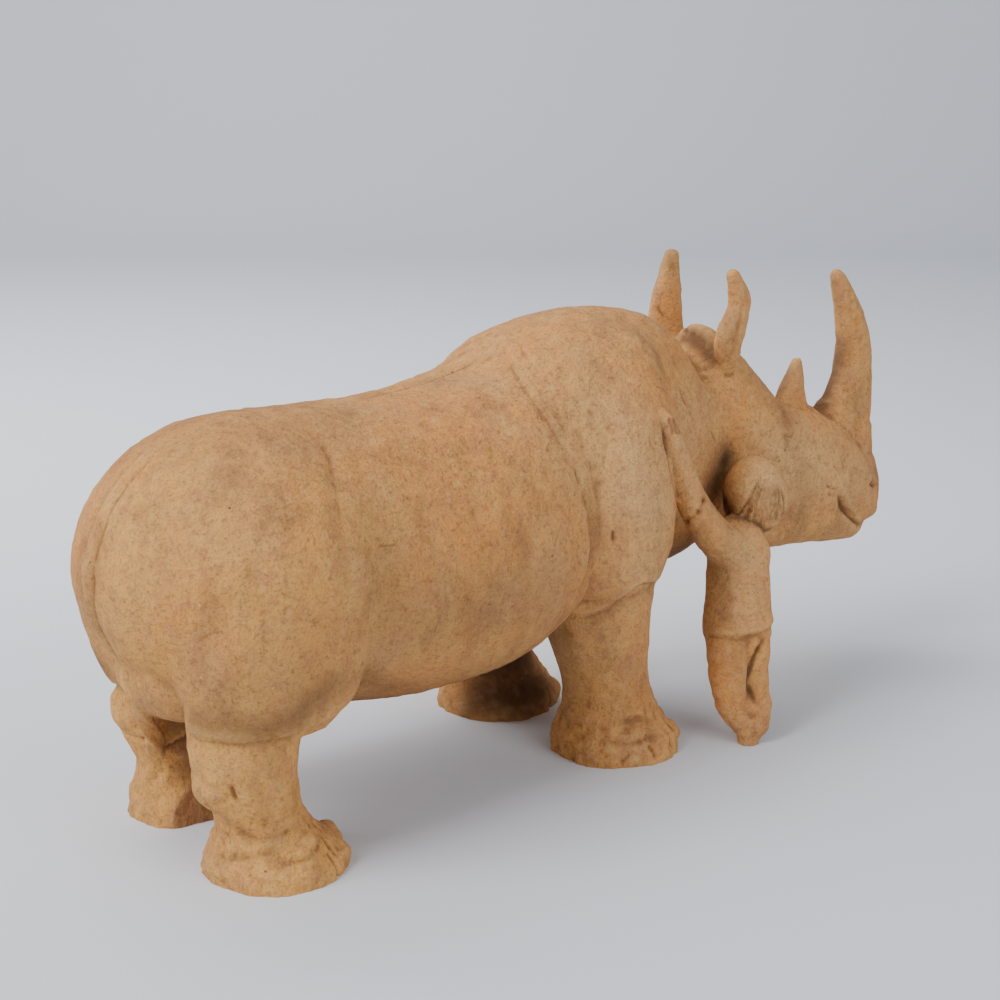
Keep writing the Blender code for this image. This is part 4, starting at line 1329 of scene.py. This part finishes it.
def add_node(
    tree: Tree, kind: str, settings: dict | None = None, links: dict | None = None
) -> bpy.types.Node:
    """Adds a node.

    Args:
        tree: The tree it joins.
        kind: Its type.
        settings: Its properties by name, and its inputs by number.
        links: The sockets that feed its inputs, by number or name.

    Returns:
        The node.
    """
    node = tree.nodes.new(kind)
    for name, value in (settings or {}).items():
        if isinstance(name, int):
            node.inputs[name].default_value = value
        else:
            setattr(node, name, value)
    for name, source in (links or {}).items():
        tree.links.new(source, node.inputs[name])
    return node


@dataclass(frozen=True)
class Terracotta:
    """Terracotta: low-fired earthenware, hand-built and scraped, with no glaze.

    It gives the eye a dry, matt, buff-orange skin that turns ruddier and greyer in patches, with fine grit,
    brushed scratches, pale dust on what stands out, darker brown in what lies deep, and shade painted on.
    """

    buff: str = "#C58F53"
    orange: str = "#CE8B49"
    ruddy: str = "#B07650"
    grey: str = "#A78462"
    ochre: str = "#DEA353"
    # Smoke brown, for smoke clouds, for the hollows and for painted shade
    smoke_and_shade: str = "#634630"
    # Near-black brown, for dirt and for painted shade in deep gaps
    dirt_and_shade: str = "#2B1D15"
    straw: str = "#DCAA67"
    dust: str = "#DDB884"
    roughness: float = 0.88
    specular: float = 0.25
    # Sizes of the pattern in mm
    patch_mm: float = 62.0
    cloud_mm: float = 21.0
    mottle_mm: float = 7.5
    freckle_mm: float = 3.0
    grain_mm: float = 1.3
    grit_mm: float = 0.8
    scratch_mm: float = 2.0
    speck_gap_mm: float = 11.0

    def material(self) -> bpy.types.Material:
        """Makes the material."""
        material = bpy.data.materials.new("terracotta, hand-built and unglazed")
        material.use_nodes = True
        tree = material.node_tree
        shader = tree.nodes["Principled BSDF"]
        shader.inputs["Roughness"].default_value = self.roughness
        shader.inputs["Specular IOR Level"].default_value = self.specular
        place = add_node(tree, "ShaderNodeTexCoord").outputs["Object"]
        turned = self.drawn_out(tree, place, (0.5, 0.3, 0.9), 0.35)
        colour = self.mix(tree, self.spread(tree, place, self.patch_mm, 0.42, 0.62), self.buff, self.orange)
        layers = (
            (self.spread(tree, place, self.cloud_mm, 0.50, 0.74, 0.45), self.ruddy),
            (self.spread(tree, place, 1.7 * self.cloud_mm, 0.50, 0.76, 0.45), self.grey),
            (self.stain_and_shade_share(tree, StainAndShade.OCHRE, 0.0, 1.0, 0.65), self.ochre),
            (self.stain_and_shade_share(tree, StainAndShade.PALE, 0.0, 1.0, 0.6), self.dust),
            (self.stain_and_shade_share(tree, StainAndShade.RUDDY, 0.0, 1.0, 0.8), self.ruddy),
            (self.spread(tree, turned, self.cloud_mm, 0.50, 0.70, 0.45), self.smoke_and_shade),
            (self.spread(tree, turned, 0.6 * self.cloud_mm, 0.52, 0.72, 0.40), self.straw),
            (self.spread(tree, place, self.mottle_mm, 0.47, 0.68, 0.55), self.ruddy),
            (self.spread(tree, place, 0.7 * self.mottle_mm, 0.52, 0.72, 0.38), self.straw),
            (self.spread(tree, place, self.freckle_mm, 0.52, 0.70, 0.42), self.smoke_and_shade),
            (self.spread(tree, place, self.grain_mm, 0.50, 0.68, 0.42), self.smoke_and_shade),
            (self.spread(tree, place, 0.8 * self.grain_mm, 0.54, 0.72, 0.25), self.straw),
            (self.specks(tree, place, self.speck_gap_mm, 0.065, 0.7), self.dust),
            (self.specks(tree, place, 1.3 * self.speck_gap_mm, 0.06, 0.75), self.dirt_and_shade),
            # Painted shade, with grey smoke on the tall horn's tip
            (self.stain_and_shade_share(tree, StainAndShade.SMOKE, 0.0, 1.0, 0.80), self.smoke_and_shade),
            # What stands out is paled with dust, and what lies deep is darkened
            (self.stain_and_shade_share(tree, StainAndShade.HOLLOW, -0.35, -1.0, 0.14), self.dust),
            (self.stain_and_shade_share(tree, StainAndShade.HOLLOW, 0.30, 1.0, 0.5), self.smoke_and_shade),
            # Dirt, with painted shade in deep gaps and on shaded faces
            (self.stain_and_shade_share(tree, StainAndShade.DIRT_AND_SHADE, 0.0, 1.0, 0.92), self.dirt_and_shade),
        )
        for share, over in layers:
            colour = self.mix(tree, share, colour, over)
        tree.links.new(colour, shader.inputs["Base Color"])
        tree.links.new(self.relief(tree, place), shader.inputs["Normal"])
        return material

    def drawn_out(self, tree: Tree, place: Socket, turn: Point, stretch: float) -> Socket:
        """Gives coordinates in which a pattern runs one way."""
        settings = {2: turn, 3: (1.0, 1.0, stretch)}
        return add_node(tree, "ShaderNodeMapping", settings, {0: place}).outputs[0]

    def mix(self, tree: Tree, share: Socket, under: Socket | str, over: str) -> Socket:
        """Lays one colour over another by a share from 0 to 1."""
        settings = {"data_type": "RGBA", 7: linear(over)}
        links = {0: share}
        if isinstance(under, str):
            settings[6] = linear(under)
        else:
            links[6] = under
        return add_node(tree, "ShaderNodeMix", settings, links).outputs[2]

    def spread(
        self, tree: Tree, place: Socket, size_mm: float, low: float, high: float, most: float = 1.0
    ) -> Socket:
        """Gives soft patches of a real size.

        Args:
            tree: The material's tree.
            place: The coordinates.
            size_mm: How far apart the patches are.
            low: The noise below which there are none.
            high: The noise above which they are full.
            most: Their value where they are full.

        Returns:
            The patches' share, from 0 to most.
        """
        noise = add_node(tree, "ShaderNodeTexNoise", {2: 1000.0 / size_mm, 3: 4.0, 4: 0.6}, {0: place})
        span = add_node(tree, "ShaderNodeMapRange", {1: low, 2: high, 4: most}, {0: noise.outputs[0]})
        return span.outputs[0]

    def specks(self, tree: Tree, place: Socket, gap_mm: float, radius: float, most: float) -> Socket:
        """Gives scattered specks.

        Args:
            tree: The material's tree.
            place: The coordinates.
            gap_mm: How far apart the specks can be.
            radius: A speck's radius as a share of that.
            most: Their value where they are full.

        Returns:
            The specks' share, from 0 to most.
        """
        cells = add_node(tree, "ShaderNodeTexVoronoi", {2: 1000.0 / gap_mm}, {0: place})
        settings = {1: radius, 2: 0.5 * radius, 4: most}
        spot = add_node(tree, "ShaderNodeMapRange", settings, {0: cells.outputs["Distance"]})
        thin = self.spread(tree, place, 2.5 * self.cloud_mm, 0.48, 0.56)
        both = {0: spot.outputs[0], 1: thin}
        return add_node(tree, "ShaderNodeMath", {"operation": "MULTIPLY"}, both).outputs[0]

    def stain_and_shade_share(self, tree: Tree, stain_and_shade: StainAndShade, start: float, full: float, most: float) -> Socket:
        """Gives the share of one of the stains, painted shade among them, that the clay carries, from 0 to
        most.
        """
        layer = add_node(tree, "ShaderNodeAttribute", {"attribute_name": stain_and_shade.value})
        span = add_node(tree, "ShaderNodeMapRange", {1: start, 2: full, 4: most}, {0: layer.outputs["Fac"]})
        return span.outputs[0]

    def relief(self, tree: Tree, place: Socket) -> Socket:
        """Gives the grit of the clay and the strokes that scraped it, as a bump."""
        layers = (
            # coordinates, size in mm, detail, strength, height in metres
            (place, self.grit_mm, 2.0, 0.45, 0.0004),
            (self.drawn_out(tree, place, (0.2, 0.5, 0.3), 0.14), self.scratch_mm, 2.0, 0.50, 0.0008),
            (place, self.freckle_mm, 3.0, 0.55, 0.0013),
            (place, 2.4 * self.freckle_mm, 3.0, 0.55, 0.0022),
        )
        normal = None
        for coordinates, size_mm, detail, strength, height in layers:
            settings = {2: 1000.0 / size_mm, 3: detail, 4: 0.6}
            noise = add_node(tree, "ShaderNodeTexNoise", settings, {0: coordinates})
            links = {"Height": noise.outputs[0]}
            if normal:
                links["Normal"] = normal
            normal = add_node(tree, "ShaderNodeBump", {0: strength, 1: height}, links).outputs[0]
        return normal


@dataclass(frozen=True)
class Backdrop:
    """Matt seamless paper in a pale blue-grey, which gives the eye no seam and no texture."""

    colour: str = "#D9DCE2"
    roughness: float = 0.95

    def material(self) -> bpy.types.Material:
        """Makes the material."""
        material = bpy.data.materials.new("matt backdrop paper")
        material.use_nodes = True
        shader = material.node_tree.nodes["Principled BSDF"]
        shader.inputs["Base Color"].default_value = linear(self.colour)
        shader.inputs["Roughness"].default_value = self.roughness
        shader.inputs["Specular IOR Level"].default_value = 0.1
        return material


@dataclass
class Studio:
    """A paper sweep, four soft lights and the camera."""

    # The paper in metres: half its width, how far it comes forward and goes back, its bend and its height
    half_width: float = 4.0
    front: float = 3.0
    depth: float = 2.2
    bend: float = 0.9
    height: float = 3.0
    surround: str = "#C4C9D0"
    surround_strength: float = 0.7
    # Name, place to the camera's right, away and up, side, watts, and how far beyond the figure it is aimed
    lights: tuple[tuple, ...] = (
        ("key", -1.35, -1.0, 1.45, 1.2, 46, 0.0),
        ("fill", 1.5, -1.5, 0.9, 1.4, 21, 0.0),
        ("top", 0.2, 0.3, 2.2, 2.2, 3, 0.0),
        ("glow", -0.8, 0.6, 1.2, 1.4, 30, 2.2),
    )

    def ways(self) -> tuple[Vector, Vector]:
        """Gives the level ways to the right and away, as the camera sees them."""
        azimuth = math.radians(CAMERA_AZIMUTH)
        right = Vector((math.cos(azimuth), math.sin(azimuth), 0))
        return right, Vector((-right.y, right.x, 0))

    def build_sweep(self, paper: Backdrop) -> None:
        """Lays the floor and bends it up behind the figure."""
        right, away = self.ways()
        middle = placed(LOOKS_AT)
        middle.z = 0
        profile = [(-self.front, 0.0), (self.depth, 0.0)]
        profile += [
            (self.depth + self.bend * math.sin(angle), self.bend * (1 - math.cos(angle)))
            for angle in np.linspace(0, math.pi / 2, 13)[1:]
        ]
        profile.append((self.depth + self.bend, self.height))
        bm = bmesh.new()
        edge = middle - right * self.half_width
        verts = [bm.verts.new(edge + away * back + Vector((0, 0, rise))) for back, rise in profile]
        edges = [bm.edges.new(pair) for pair in zip(verts, verts[1:])]
        swept = bmesh.ops.extrude_edge_only(bm, edges=edges)["geom"]
        moved = [item for item in swept if isinstance(item, bmesh.types.BMVert)]
        bmesh.ops.translate(bm, vec=right * (2 * self.half_width), verts=moved)
        mesh = bpy.data.meshes.new("sweep")
        bm.to_mesh(mesh)
        bm.free()
        mesh.shade_smooth()
        mesh.materials.append(paper.material())
        sweep = bpy.data.objects.new("sweep", mesh)
        bpy.context.scene.collection.objects.link(sweep)

    def add_softbox(
        self, name: str, aside: float, away_by: float, rise: float, size: float, watts: float, beyond: float
    ) -> None:
        """Hangs a square soft light that faces the figure, or the paper beyond it.

        Args:
            name: The light's name.
            aside: Its place to the camera's right, in metres.
            away_by: Its place away from the camera, in metres.
            rise: Its height in metres.
            size: Its side in metres.
            watts: Its power.
            beyond: How far beyond the figure it is aimed, in metres.
        """
        right, away = self.ways()
        middle = placed(LOOKS_AT)
        data = bpy.data.lights.new(name, "AREA")
        data.size = size
        data.energy = watts
        lamp = bpy.data.objects.new(name, data)
        lamp.location = middle + right * aside + away * away_by + Vector((0, 0, rise))
        aim = middle + away * beyond - lamp.location
        lamp.rotation_euler = aim.to_track_quat("-Z", "Y").to_euler()
        bpy.context.scene.collection.objects.link(lamp)

    def light(self) -> None:
        """Lights the figure softly from the upper left, with a weak fill and a pale surround."""
        for light in self.lights:
            self.add_softbox(*light)
        world = bpy.data.worlds.new("surround")
        world.use_nodes = True
        shade = world.node_tree.nodes["Background"]
        shade.inputs["Color"].default_value = linear(self.surround)
        shade.inputs["Strength"].default_value = self.surround_strength
        bpy.context.scene.world = world

    def set_camera(self) -> None:
        """Sets the camera where it sees the figure from behind on its right."""
        right, away = self.ways()
        elevation = math.radians(CAMERA_ELEVATION)
        ahead = away * math.cos(elevation) - Vector((0, 0, math.sin(elevation)))
        data = bpy.data.cameras.new("camera")
        data.lens = LENS_MM
        data.sensor_width = SENSOR_MM
        data.clip_start = 0.05
        camera = bpy.data.objects.new("camera", data)
        camera.location = placed(LOOKS_AT) - ahead * (CAMERA_DISTANCE * PART)
        camera.rotation_euler = ahead.to_track_quat("-Z", "Y").to_euler()
        bpy.context.scene.collection.objects.link(camera)
        bpy.context.scene.camera = camera


def main() -> None:
    """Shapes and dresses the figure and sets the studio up."""
    logging.basicConfig(level=logging.INFO, format="%(name)s: %(message)s")
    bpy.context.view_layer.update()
    piece = Figure().shape()
    piece.data.materials.clear()
    piece.data.materials.append(Terracotta().material())
    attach(piece, BODY)
    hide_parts(NODE)
    log.info("finished %s with %d triangles", piece.name, len(piece.data.polygons))
    studio = Studio()
    studio.build_sweep(Backdrop())
    studio.light()
    studio.set_camera()
    log.info("wrote both boxes")


if __name__ == "__main__":
    main()
